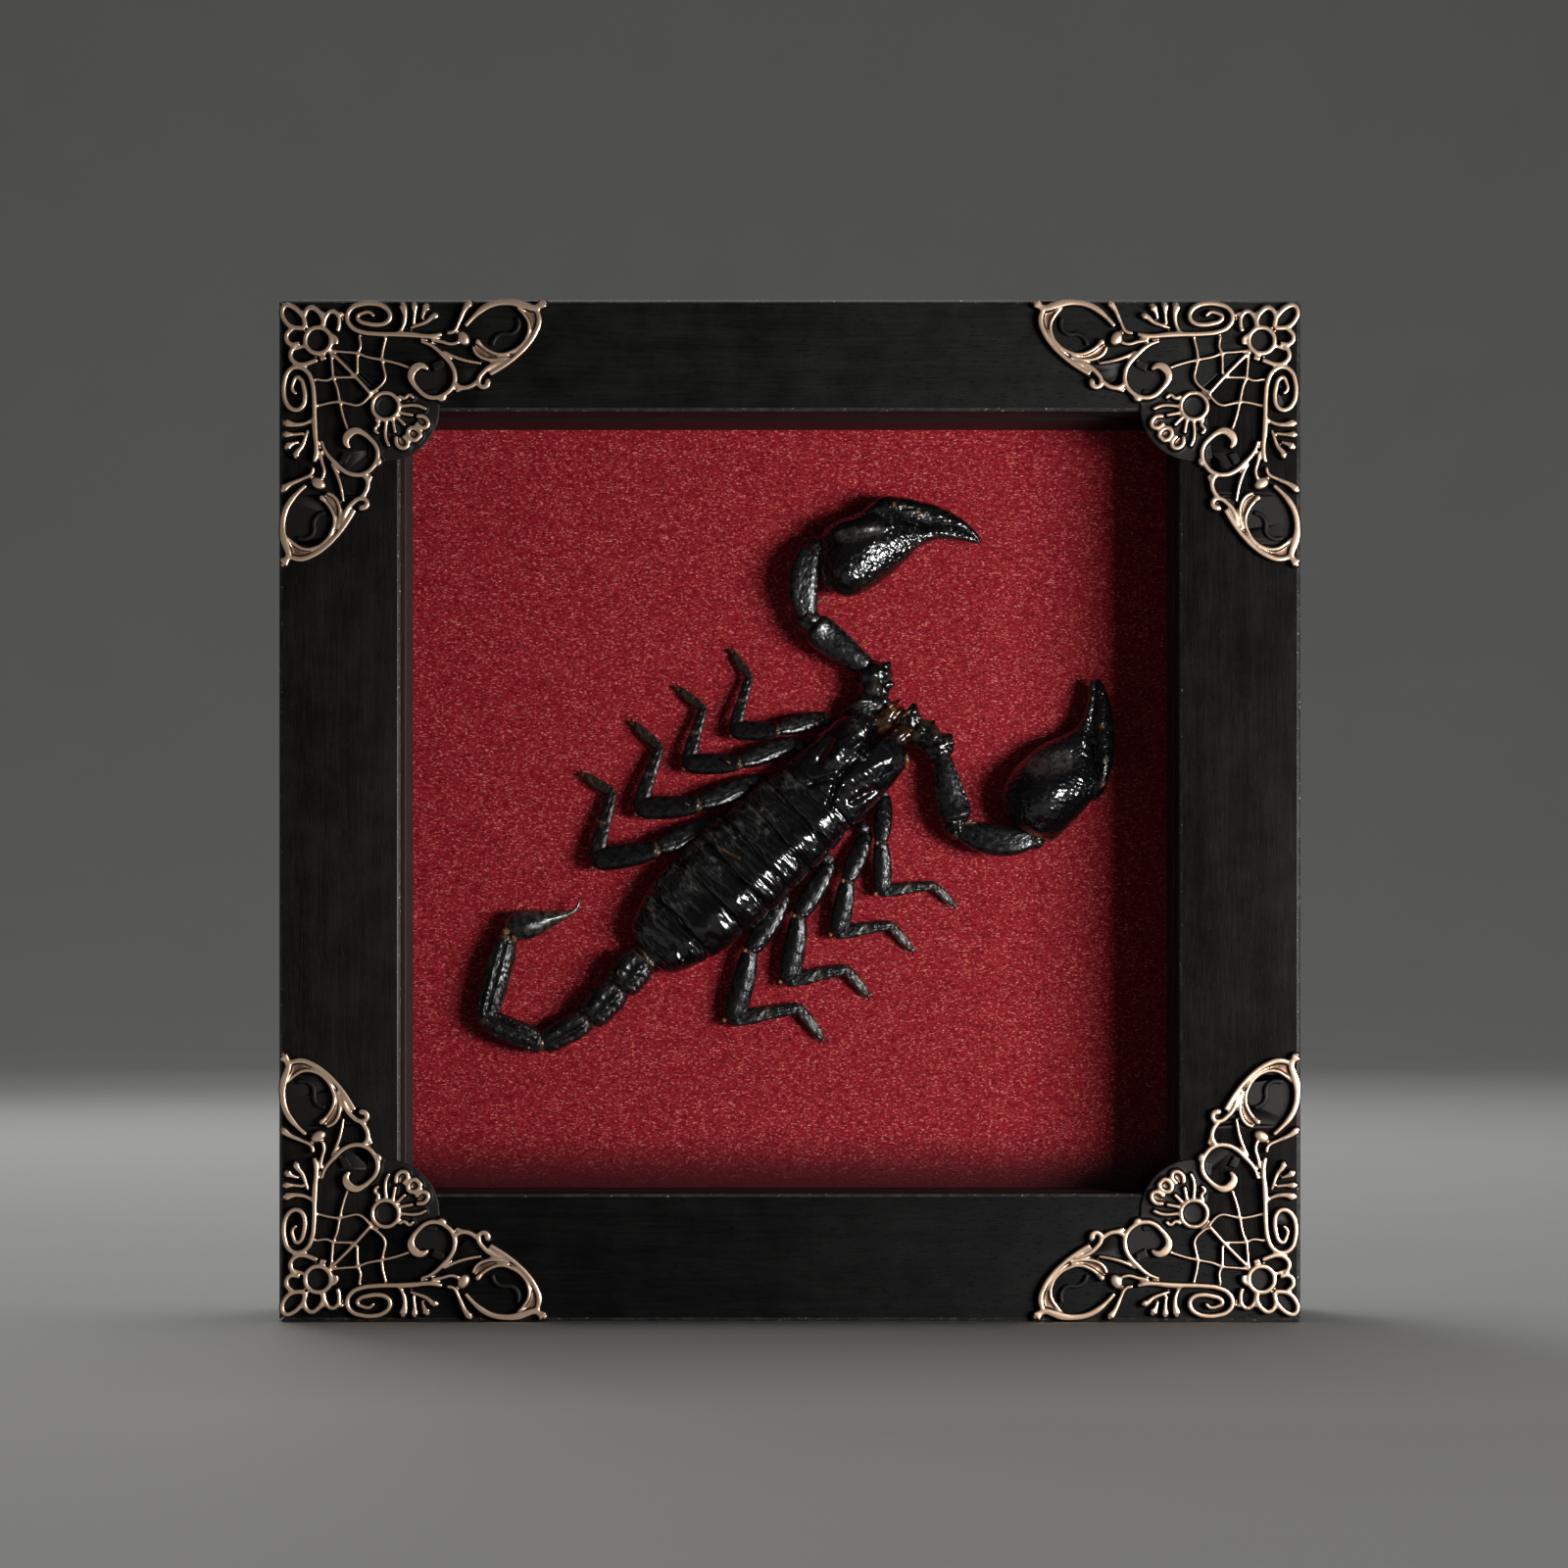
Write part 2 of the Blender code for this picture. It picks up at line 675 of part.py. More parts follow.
def make_arms():
    left_arm = [
        (14.2, 103.6, 3.4, 1.5, 1.5),
        (14.9, 105.4, 3.6, 2.0, 1.8),
        (15.0, 108.9, 3.8, 2.1, 1.9),
        (14.0, 110.9, 4.0, 1.6, 1.5),
        (11.7, 112.2, 4.2, 2.2, 1.9),
        (6.6, 115.1, 4.4, 2.3, 2.0),
        (3.7, 116.9, 4.5, 1.6, 1.5),
        (3.0, 119.4, 4.6, 1.9, 1.7),
        (3.0, 124.5, 4.7, 2.2, 2.0),
        (3.4, 128.7, 4.7, 1.7, 1.7),
        (3.7, 130.3, 4.7, 1.0, 1.1),
    ]
    chain_part("arm_left", left_arm, 8)
    right_arm = [
        (21.6, 96.9, 3.4, 1.3, 1.5),
        (23.4, 97.5, 3.6, 2.2, 1.8),
        (25.3, 96.4, 3.8, 2.3, 1.9),
        (26.0, 94.4, 4.0, 1.7, 1.5),
        (26.8, 92.0, 4.2, 2.2, 1.9),
        (28.6, 86.8, 4.3, 2.3, 2.0),
        (29.4, 84.0, 4.4, 1.7, 1.5),
        (31.3, 82.1, 4.5, 1.9, 1.7),
        (34.9, 80.9, 4.6, 2.2, 2.0),
        (38.0, 80.6, 4.6, 1.8, 1.7),
        (39.6, 80.6, 4.6, 1.1, 1.2),
    ]
    chain_part("arm_right", right_arm, 8)


def make_claws():
    left_hand = [
        (0.5, 1.8, -1.8, 2.6, 6.6),
        (1.5, 4.7, -3.6, 1.6, 8.0),
        (4.4, 6.6, -4.7, 0.9, 9.1),
        (7.6, 7.9, -4.2, 0.8, 9.4),
        (10.5, 7.9, -3.1, 1.0, 9.0),
        (13.1, 6.5, -1.7, 1.6, 7.8),
        (15.6, 5.2, 0.6, 2.4, 6.6),
        (18.0, 3.7, 1.7, 3.0, 5.8),
        (20.4, 3.0, 2.1, 3.2, 5.4),
        (24.0, 1.7, 1.2, 3.4, 5.0),
        (26.7, 0.4, 0.1, 3.7, 4.5),
    ]
    axis_part("claw_left", CLAW_LEFT_START, CLAW_LEFT_HEADING, left_hand, round_section(10))
    left_finger = [
        (10.8, 9.3, 8.5, 3.6, 6.2),
        (12.2, 9.9, 7.9, 2.6, 7.2),
        (14.0, 10.3, 6.7, 2.4, 7.4),
        (16.5, 10.0, 5.5, 2.6, 7.0),
        (19.8, 8.8, 3.9, 3.0, 6.3),
        (23.2, 6.6, 2.7, 3.3, 5.7),
        (25.7, 4.2, 1.8, 3.6, 5.1),
        (27.5, 1.5, 0.8, 3.9, 4.6),
    ]
    axis_part("finger_left", CLAW_LEFT_START, CLAW_LEFT_HEADING, left_finger, round_section(8))
    right_hand = [
        (0.1, 0.9, -4.2, 2.6, 6.6),
        (1.5, 4.9, -5.6, 1.4, 8.0),
        (3.8, 6.1, -6.6, 0.9, 9.0),
        (7.0, 6.2, -7.5, 0.8, 9.4),
        (10.4, 4.9, -7.7, 0.9, 9.0),
        (13.2, 3.6, -6.1, 1.4, 8.0),
        (15.6, 2.3, -4.6, 2.0, 7.2),
        (18.2, 0.2, -3.5, 2.6, 6.4),
        (20.8, -0.5, -2.7, 3.0, 5.8),
        (23.4, -0.5, -1.8, 3.2, 5.4),
        (25.6, 0.0, -1.1, 3.4, 5.1),
        (27.8, 0.7, 0.1, 3.6, 4.6),
    ]
    axis_part("claw_right", CLAW_RIGHT_START, CLAW_RIGHT_HEADING, right_hand, round_section(10))
    right_finger = [
        (11.6, -8.1, -8.8, 3.6, 6.2),
        (13.0, -7.2, -9.0, 2.6, 7.2),
        (14.6, -5.9, -8.8, 2.4, 7.4),
        (18.1, -4.0, -7.9, 2.7, 6.9),
        (21.6, -2.9, -6.5, 3.0, 6.3),
        (24.8, -1.9, -4.9, 3.3, 5.7),
        (27.2, -0.9, -2.9, 3.6, 5.1),
        (28.5, -0.5, -1.0, 3.9, 4.6),
    ]
    axis_part("finger_right", CLAW_RIGHT_START, CLAW_RIGHT_HEADING, right_finger,
              round_section(8))


# Legs: where the hip joint shows, then the length and heading of thigh, shin,
# foot and toe. The hip stub runs back under the body.
LEGS = {
    "leg_left_1": ((5.9, 102.0), [(8.2, -163), (7.7, 180), (9.6, 74), (5.0, 123)]),
    "leg_left_2": ((1.0, 97.8), [(10.2, -158), (9.2, 180), (9.8, 74), (5.2, 140)]),
    "leg_left_3": ((-5.0, 91.3), [(11.3, -157), (10.6, -177), (11.0, 71), (5.9, 137)]),
    "leg_left_4": ((-12.3, 84.1), [(11.3, -155), (11.1, -170), (11.9, 76), (5.6, 147)]),
    "leg_right_1": ((16.3, 88.3), [(7.9, -96), (8.4, -89), (9.1, 7), (4.5, -43)]),
    "leg_right_2": ((13.3, 82.2), [(9.1, -113), (9.1, -101), (9.4, 9), (5.3, -49)]),
    "leg_right_3": ((6.9, 76.8), [(10.6, -121), (11.1, -100), (10.4, 11), (5.5, -50)]),
    "leg_right_4": ((-0.8, 71.1), [(11.2, -123), (12.0, -105), (11.8, 10), (6.5, -53)]),
}
HIP_STUB = 1.6
HIP_HEIGHT = 1.7
KNEE_HEIGHT = 2.6
HEEL_HEIGHT = 2.4
ANKLE_HEIGHT = 1.8
TOE_HEIGHT = 0.9
# For each stretch: shares of its length with half widths
LEG_STRETCHES = [
    [(0.05, 0.9), (0.45, 1.35), (0.9, 1.15)],
    [(0.06, 0.95), (0.5, 1.45), (0.92, 1.2)],
    [(0.1, 0.95), (0.94, 0.78)],
    [(0.12, 0.65), (0.6, 0.6), (1.0, 0.25)],
]
LEG_FLATNESS = 0.82


def make_leg(name, hip, stretches):
    across = math.radians(TRUNK_HEADING + (-90 if "left" in name else 90))
    stub = (hip[0] + HIP_STUB * math.cos(across), hip[1] + HIP_STUB * math.sin(across))
    stations = [(*stub, HIP_HEIGHT - 0.3, 0.7, 0.7)]
    heights = [HIP_HEIGHT, KNEE_HEIGHT, HEEL_HEIGHT, ANKLE_HEIGHT, TOE_HEIGHT]
    here = Vector(hip)
    for k, (length, heading) in enumerate(stretches):
        turn = math.radians(heading)
        ahead = Vector((math.cos(turn), math.sin(turn)))
        for share, wide in LEG_STRETCHES[k]:
            place = here + ahead * length * share
            height = heights[k] + share * (heights[k + 1] - heights[k])
            stations.append((place.x, place.y, height, wide, wide * LEG_FLATNESS))
        here = here + ahead * length
    chain_part(name, stations, 6)


def main():
    clear_scene()
    make_rails()
    pane("glass", GLASS_FRONT, GLASS_BACK, PANE_LAP, "glass")
    make_liners()
    pane("mount_board", BOARD_FRONT, BOARD_FRONT + BOARD_THICK, PANE_LAP, "red_paper")
    pane("back_board", BACK_FRONT, BACK_REAR, PANE_LAP, "fibre_board")
    make_tabs()
    make_hanger()
    make_corners()
    make_trunk()
    make_tail()
    make_arms()
    make_claws()
    for name, (hip, stretches) in LEGS.items():
        make_leg(name, hip, stretches)


main()
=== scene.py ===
# Framed scorpion specimen: every surface of the shadow box and of the specimen in it.
# Pieces of the specimen are shaped on a bench in millimetres, X along the piece, Y to its
# left and Z up off the mount board, and then laid on the board in metres.
import math

import bpy
from mathutils import Matrix, Vector, noise


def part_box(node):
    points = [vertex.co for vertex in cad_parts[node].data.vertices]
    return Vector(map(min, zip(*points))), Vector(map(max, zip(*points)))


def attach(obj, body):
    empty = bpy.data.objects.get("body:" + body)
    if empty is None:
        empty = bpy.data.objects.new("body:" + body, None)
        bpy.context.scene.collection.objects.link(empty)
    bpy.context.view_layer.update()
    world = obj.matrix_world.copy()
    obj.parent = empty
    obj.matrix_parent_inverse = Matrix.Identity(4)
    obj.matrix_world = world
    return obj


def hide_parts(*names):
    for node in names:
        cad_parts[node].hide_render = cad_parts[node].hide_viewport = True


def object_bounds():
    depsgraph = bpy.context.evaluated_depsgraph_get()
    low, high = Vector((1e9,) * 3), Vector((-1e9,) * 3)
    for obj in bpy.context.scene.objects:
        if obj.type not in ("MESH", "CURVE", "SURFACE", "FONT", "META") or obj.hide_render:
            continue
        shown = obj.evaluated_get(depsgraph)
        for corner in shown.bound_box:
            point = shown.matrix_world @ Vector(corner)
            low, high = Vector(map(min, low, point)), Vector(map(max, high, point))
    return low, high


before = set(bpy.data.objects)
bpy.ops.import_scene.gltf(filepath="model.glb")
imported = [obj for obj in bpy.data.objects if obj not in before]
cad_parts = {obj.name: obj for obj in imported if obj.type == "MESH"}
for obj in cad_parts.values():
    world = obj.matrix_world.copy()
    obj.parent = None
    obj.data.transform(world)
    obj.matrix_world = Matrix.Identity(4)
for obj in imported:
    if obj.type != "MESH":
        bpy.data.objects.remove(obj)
CAD_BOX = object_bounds()

MM = 0.001
PER_MM = 1.0 / MM
LEFT_EDGE = CAD_BOX[0].x
TOP_EDGE = CAD_BOX[1].z
MID_HEIGHT = TOP_EDGE / 2
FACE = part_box("rail_top")[0].y
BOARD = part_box("mount_board")[0].y
BOARD_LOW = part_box("liner_bottom")[1].z

# The photo is square, and one of its pixels is PIXEL_MM wide at the rails' face. The camera
# stands VIEW_DISTANCE millimetres in front of that face, EYE_HEIGHT metres up, and looks level
# at the place that EYE_PIXEL shows.
PHOTO_SIDE = 1600
PIXEL_MM = 0.163
VIEW_DISTANCE = 600.0
EYE_HEIGHT = 0.054
EYE_PIXEL = (806, 1017)
SENSOR = 36.0


# Materials

class Wire:
    """The output of a node. A sum, difference or product of wires adds Math nodes."""

    def __init__(self, finish, socket):
        self.finish = finish
        self.socket = socket

    def maths(self, operation, *terms):
        return self.finish.node("ShaderNodeMath", {"operation": operation}, dict(enumerate(terms)))

    def __add__(self, other):
        return self.maths("ADD", self, other)

    def __mul__(self, other):
        return self.maths("MULTIPLY", self, other)

    def __sub__(self, other):
        return self.maths("SUBTRACT", self, other)

    def __rsub__(self, other):
        return self.maths("SUBTRACT", other, self)

    __radd__ = __add__
    __rmul__ = __mul__


class Finish:
    """A material: one Principled shader, its fixed settings and the nodes that feed it."""

    def __init__(self, name, fixed):
        self.material = bpy.data.materials.new(name)
        self.material.use_nodes = True
        self.tree = self.material.node_tree
        self.shader = self.tree.nodes["Principled BSDF"]
        for socket, value in fixed.items():
            self.shader.inputs[socket].default_value = value

    def node(self, kind, settings=None, inputs=None, output=0):
        """Add a node, set it up, and give each input a value or a wire."""
        made = self.tree.nodes.new(kind)
        for setting, value in (settings or {}).items():
            setattr(made, setting, value)
        for socket, value in (inputs or {}).items():
            if isinstance(value, Wire):
                self.tree.links.new(value.socket, made.inputs[socket])
            else:
                made.inputs[socket].default_value = value
        return Wire(self, made.outputs[output])

    def feed(self, socket, wire):
        self.tree.links.new(wire.socket, self.shader.inputs[socket])

    def place(self, scale=(1.0, 1.0, 1.0)):
        here = self.node("ShaderNodeTexCoord", output="Object")
        return self.node("ShaderNodeMapping", None, {"Vector": here, "Scale": scale})

    def axis(self, letter):
        here = self.node("ShaderNodeTexCoord", output="Object")
        return self.node("ShaderNodeSeparateXYZ", None, {0: here}, output=letter)

    def cloud(self, where, per_mm, detail=3.0, rough=0.5, twist=0.0):
        inputs = {"Vector": where, "Scale": per_mm * PER_MM, "Detail": detail,
                  "Roughness": rough, "Distortion": twist}
        return self.node("ShaderNodeTexNoise", None, inputs, output="Fac")

    def cells(self, where, per_mm, output="Distance"):
        inputs = {"Vector": where, "Scale": per_mm * PER_MM}
        return self.node("ShaderNodeTexVoronoi", None, inputs, output=output)

    def ramp(self, value, low, high, start=0.0, end=1.0):
        """Ease from start to end while the value goes from low to high."""
        inputs = {"Value": value, "From Min": low, "From Max": high, "To Min": start, "To Max": end}
        return self.node("ShaderNodeMapRange", {"interpolation_type": "SMOOTHSTEP"}, inputs)

    def blend(self, share, first, second):
        first = first if isinstance(first, Wire) else (*first, 1.0)
        second = second if isinstance(second, Wire) else (*second, 1.0)
        inputs = {0: share, 6: first, 7: second}
        return self.node("ShaderNodeMix", {"data_type": "RGBA"}, inputs, output=2)

    def attribute(self, name):
        return self.node("ShaderNodeAttribute", {"attribute_name": name}, output="Fac")

    def bump(self, height, depth_mm, strength=1.0):
        inputs = {"Height": height, "Distance": depth_mm * MM, "Strength": strength}
        self.feed("Normal", self.node("ShaderNodeBump", None, inputs))


def black_wood(name, grain_axis, dark, light, seam=None):
    """Wood stained black: long fibres, short open pores and a soft mottle. To the right of a
    seam, given in millimetres from the middle of the box, the wood is a little paler."""
    made = Finish(name, {"Specular IOR Level": 0.07})
    long = [1.0, 1.0, 1.0]
    long[grain_axis] = 0.05
    short = [1.0, 1.0, 1.0]
    short[grain_axis] = 0.16
    fibres = made.cloud(made.place(long), 2.6, detail=4.0, rough=0.65)
    bands = made.cloud(made.place(long), 0.35, detail=2.0, twist=0.6)
    mottle = made.cloud(made.place(), 0.16, detail=5.0, rough=0.6)
    pores = made.ramp(made.cloud(made.place(short), 3.4, detail=2.0), 0.60, 0.70)
    tone = made.ramp(fibres * 0.35 + bands * 0.3 + mottle * 0.5, 0.42, 0.78)
    if seam is not None:
        tone = tone + made.ramp(made.axis("X"), seam * MM, (seam + 0.25) * MM) * 0.14
    colour = made.blend(tone, dark, light)
    made.feed("Base Color", made.blend(pores * 0.5, colour, (0.002, 0.002, 0.002)))
    made.feed("Roughness", 0.44 + fibres * 0.22)
    made.bump(fibres * 0.35 + mottle * 0.5 - pores * 0.6, 0.10, 0.6)
    return made.material


def worn_edge():
    """The rubbed arrises of the rails, with paler nicks through the stain."""
    made = Finish("worn black edge", {"Specular IOR Level": 0.5})
    rub = made.cloud(made.place(), 0.5, detail=4.0, rough=0.7)
    nick = made.ramp(made.cloud(made.place(), 1.7, detail=3.0, rough=0.7), 0.64, 0.69)
    colour = made.blend(made.ramp(rub, 0.4, 0.75), (0.014, 0.014, 0.013), (0.045, 0.043, 0.040))
    made.feed("Base Color", made.blend(nick, colour, (0.32, 0.31, 0.29)))
    made.feed("Roughness", 0.34 + rub * 0.2)
    return made.material


def charcoal_card(name, dark, light):
    """The spacer strips: charcoal card with a soft sheen and faint scuffs."""
    made = Finish(name, {"Specular IOR Level": 0.25})
    scuff = made.cloud(made.place((1.0, 1.0, 0.2)), 0.9, detail=4.0, rough=0.7)
    fibre = made.cloud(made.place(), 5.0, detail=2.0)
    made.feed("Base Color", made.blend(scuff, dark, light))
    made.feed("Roughness", 0.45 + fibre * 0.25)
    made.bump(fibre + scuff * 0.5, 0.04, 0.5)
    return made.material


def clear_pane():
    """A clear pane: it lets light through unchanged and shines a little at a slant."""
    made = Finish("clear pane", {})
    clear = made.node("ShaderNodeBsdfTransparent", None, {"Color": (0.985, 0.99, 0.99, 1.0)})
    shine = made.node("ShaderNodeBsdfGlossy", None, {"Roughness": 0.03})
    slant = made.node("ShaderNodeFresnel", None, {"IOR": 1.16})
    pane = made.node("ShaderNodeMixShader", None, {0: slant, 1: clear, 2: shine})
    output = made.tree.nodes["Material Output"]
    made.tree.links.new(pane.socket, output.inputs["Surface"])
    made.tree.nodes.remove(made.shader)
    return made.material


def red_paper():
    """Deep red paper with a fine glitter that lies in short wavy dashes, and painted shade along
    its foot.
    """
    made = Finish("red glitter paper", {"Specular IOR Level": 0.05})
    waves = made.cloud(made.place((0.5, 1.0, 1.0)), 0.7, detail=2.0)
    drift = made.node("ShaderNodeVectorMath", {"operation": "MULTIPLY_ADD"}, {
        0: made.node("ShaderNodeCombineXYZ", None, {"Z": waves}),
        1: (0.0, 0.0, 0.4 * MM),
        2: made.place(),
    })
    flat = made.node("ShaderNodeMapping", None, {"Vector": drift, "Scale": (0.46, 1.0, 1.0)})
    grain = made.cloud(flat, 3.2, detail=3.0, rough=0.7)
    flake = made.node("ShaderNodeSeparateColor", None, {0: made.cells(flat, 7.5, output="Color")})
    chip = made.node("ShaderNodeSeparateColor", None, {0: made.cells(flat, 5.0, output="Color")})
    warm = made.cloud(made.place(), 0.8, detail=2.0)
    spark = made.ramp(flake, 0.80, 0.99)
    red = made.blend(made.ramp(grain, 0.36, 0.66), (0.140, 0.0031, 0.0074), (0.298, 0.0113, 0.0192))
    red = made.blend(made.ramp(chip, 0.50, 1.0) * 0.5, red, (0.38, 0.030, 0.040))
    gold = made.blend(made.ramp(warm, 0.42, 0.6), (0.72, 0.18, 0.20), (0.74, 0.23, 0.16))
    paper = made.blend(spark * made.ramp(grain, 0.36, 0.56) * 0.95, red, gold)
    # Painted shade: the paper is darkened towards its lower edge, where the bottom rail shades it.
    foot_shade = made.ramp(made.axis("Z"), BOARD_LOW + 11.0 * MM, BOARD_LOW + 0.3 * MM)
    made.feed("Base Color", made.blend(foot_shade * 0.93, paper, (0.034, 0.0034, 0.0044)))
    made.feed("Roughness", 0.65 - spark * 0.25)
    made.bump(grain + flake * 0.3, 0.04, 0.6)
    return made.material


def hardboard():
    """Brown hardboard: pressed fibres with a soft sheen."""
    made = Finish("brown hardboard", {"Specular IOR Level": 0.3})
    fibre = made.cloud(made.place((1.0, 1.0, 0.45)), 1.6, detail=6.0, rough=0.7, twist=1.2)
    stain = made.cloud(made.place(), 0.04, detail=4.0)
    fleck = made.ramp(made.cloud(made.place(), 2.4, detail=2.0), 0.62, 0.7)
    colour = made.blend(made.ramp(fibre, 0.3, 0.7), (0.095, 0.050, 0.024), (0.20, 0.115, 0.058))
    colour = made.blend(made.ramp(stain, 0.4, 0.7) * 0.35, colour, (0.11, 0.065, 0.035))
    made.feed("Base Color", made.blend(fleck * 0.5, colour, (0.045, 0.024, 0.013)))
    made.feed("Roughness", 0.62 + fibre * 0.2)
    made.bump(fibre, 0.08, 0.6)
    return made.material


def zinc():
    """Zinc-plated sheet: cloudy, lightly scratched and dull in places."""
    made = Finish("zinc-plated steel", {"Metallic": 1.0})
    cloudy = made.cloud(made.place(), 0.5, detail=5.0, rough=0.6)
    scratch = made.ramp(made.cloud(made.place((0.1, 1.0, 1.0)), 6.0, detail=3.0), 0.55, 0.75)
    colour = made.blend(cloudy, (0.30, 0.29, 0.27), (0.56, 0.55, 0.52))
    made.feed("Base Color", colour)
    made.feed("Roughness", 0.26 + cloudy * 0.3 - scratch * 0.08)
    made.bump(scratch + cloudy * 0.3, 0.02, 0.5)
    return made.material


def antique_bronze():
    """Cast bronze blackened all over, then rubbed bright along its crests."""
    made = Finish("antique bronze", {})
    height = (FACE - made.axis("Y")) * PER_MM
    facing = made.node("ShaderNodeTexCoord", output="Normal")
    front = 0.0 - made.node("ShaderNodeSeparateXYZ", None, {0: facing}, output="Y")
    rub = made.cloud(made.place(), 0.55, detail=4.0, rough=0.6)
    fine = made.cloud(made.place(), 3.0, detail=3.0)
    crest = made.ramp(height + rub * 0.5 - 0.25, 0.85, 1.30)
    burnish = crest * made.ramp(front, 0.64, 0.97)
    colour = made.blend(made.ramp(burnish, 0.02, 0.5), (0.010, 0.008, 0.007), (0.30, 0.175, 0.110))
    colour = made.blend(made.ramp(burnish, 0.40, 0.95), colour, (0.93, 0.66, 0.47))
    made.feed("Base Color", colour)
    made.feed("Metallic", made.ramp(burnish, 0.0, 0.25, 0.55, 0.80))
    made.feed("Roughness", 0.50 - made.ramp(burnish, 0.1, 0.8) * 0.20 + fine * 0.08)
    made.bump(fine, 0.02, 0.35)
    return made.material


def black_shell(name, per_mm, depth_mm, matt, shine, dusty):
    """Horny black shell with tan joints, brown thin places and a fine skin. Per_mm and depth_mm
    are the skin's fineness and relief, and dusty is the colour of its dull places."""
    made = Finish(name, {"Specular IOR Level": shine, "Coat Roughness": 0.10})
    fine = made.cloud(made.place(), per_mm, detail=3.0, rough=0.6)
    cell = made.cells(made.place(), per_mm * 0.9)
    speckle = made.ramp(made.cloud(made.place(), 1.4, detail=5.0, rough=0.7), 0.24, 0.66)
    brown = made.ramp(made.cloud(made.place(), 0.8, detail=4.0, rough=0.65), 0.60, 0.74)
    dull = made.ramp(made.attribute("dust"), 0.0, 1.0) * speckle
    tan = made.attribute("tan")
    colour = made.blend(dull, (0.0014, 0.0014, 0.0018), dusty)
    colour = made.blend(brown * 0.25, colour, (0.030, 0.016, 0.008))
    horn = made.blend(made.ramp(fine, 0.35, 0.65), (0.10, 0.045, 0.018), (0.34, 0.19, 0.085))
    made.feed("Base Color", made.blend(tan, colour, horn))
    made.feed("Roughness", matt + dull * 0.26 + fine * 0.08)
    made.feed("Coat Weight", (1.0 - dull) * (shine - 0.35))
    made.bump(fine * 0.7 + cell * 0.5, depth_mm, 0.7)
    return made.material


def amber_shell():
    """The mouth parts: glossy horn, dark amber in clouds, and tan where it is thin."""
    made = Finish("amber shell", {"Specular IOR Level": 0.6, "Coat Weight": 0.8,
                                  "Coat Roughness": 0.06})
    cloudy = made.cloud(made.place(), 0.7, detail=4.0, rough=0.6)
    tan = made.attribute("tan")
    amber = made.ramp(cloudy, 0.35, 0.65)
    colour = made.blend(amber, (0.0030, 0.0012, 0.0008), (0.034, 0.0095, 0.0026))
    made.feed("Base Color", made.blend(tan, colour, (0.40, 0.17, 0.045)))
    made.feed("Roughness", 0.14 + cloudy * 0.12)
    made.bump(cloudy, 0.05, 0.5)
    return made.material


def dark_bead():
    """The eyes: small glassy black beads."""
    made = Finish("eye bead", {"Specular IOR Level": 0.8, "Coat Weight": 1.0,
                               "Coat Roughness": 0.02})
    grey = made.cloud(made.place(), 2.0, detail=2.0)
    made.feed("Base Color", made.blend(grey, (0.004, 0.004, 0.005), (0.012, 0.010, 0.010)))
    made.feed("Roughness", 0.06 + grey * 0.06)
    return made.material


def pale_floor():
    """The studio floor: pale, with a very soft unevenness."""
    made = Finish("pale floor", {"Specular IOR Level": 0.2})
    soft = made.cloud(made.place(), 0.01, detail=3.0)
    made.feed("Base Color", made.blend(soft, (0.50, 0.50, 0.49), (0.54, 0.54, 0.53)))
    made.feed("Roughness", 0.75 + soft * 0.1)
    return made.material


# Hand tools

def nothing_selected():
    bpy.ops.object.select_all(action="DESELECT")


def alone(piece):
    nothing_selected()
    piece.select_set(True)
    bpy.context.view_layer.objects.active = piece


def editing(piece):
    alone(piece)
    bpy.ops.object.mode_set(mode="EDIT")
    bpy.ops.mesh.select_all(action="SELECT")


def done():
    bpy.ops.object.mode_set(mode="OBJECT")


def apply_modifier(piece, kind, **settings):
    alone(piece)
    bpy.ops.object.modifier_add(type=kind)
    added = piece.modifiers[-1]
    for setting, value in settings.items():
        setattr(added, setting, value)
    bpy.ops.object.modifier_apply(modifier=added.name)


def rounder(piece, levels):
    apply_modifier(piece, "SUBSURF", levels=levels, render_levels=levels)


def outward(piece):
    editing(piece)
    bpy.ops.mesh.normals_make_consistent(inside=False)
    done()


def laid(piece, matrix):
    """Put a finished piece where it belongs, with its place in its mesh."""
    alone(piece)
    piece.matrix_world = matrix
    bpy.ops.object.transform_apply(location=True, rotation=True, scale=True)
    if matrix.determinant() < 0:
        outward(piece)
    return piece


def joined(pieces, name):
    nothing_selected()
    for piece in pieces:
        piece.select_set(True)
    bpy.context.view_layer.objects.active = pieces[0]
    if len(pieces) > 1:
        bpy.ops.object.join()
    whole = bpy.context.object
    whole.name = name
    whole.data.name = name
    return whole


def twin(piece):
    """A copy with its own mesh."""
    other = piece.copy()
    other.data = piece.data.copy()
    bpy.context.scene.collection.objects.link(other)
    return other


def finished(piece, nodes, slot, *finishes):
    """Give a piece its materials and let it stand for its solids."""
    piece.data.materials.clear()
    for finish in finishes:
        piece.data.materials.append(finish)
    alone(piece)
    bpy.ops.object.shade_smooth_by_angle(angle=math.radians(50))
    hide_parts(*nodes)
    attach(piece, "root")


def merged_copy(node, name):
    """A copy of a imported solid, its triangles merged into whole faces."""
    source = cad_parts[node]
    piece = bpy.data.objects.new(name, source.data.copy())
    bpy.context.scene.collection.objects.link(piece)
    editing(piece)
    bpy.ops.mesh.remove_doubles(threshold=0.01 * MM)
    bpy.ops.mesh.customdata_custom_splitnormals_clear()
    bpy.ops.mesh.dissolve_limited(angle_limit=math.radians(1.0))
    done()
    return piece


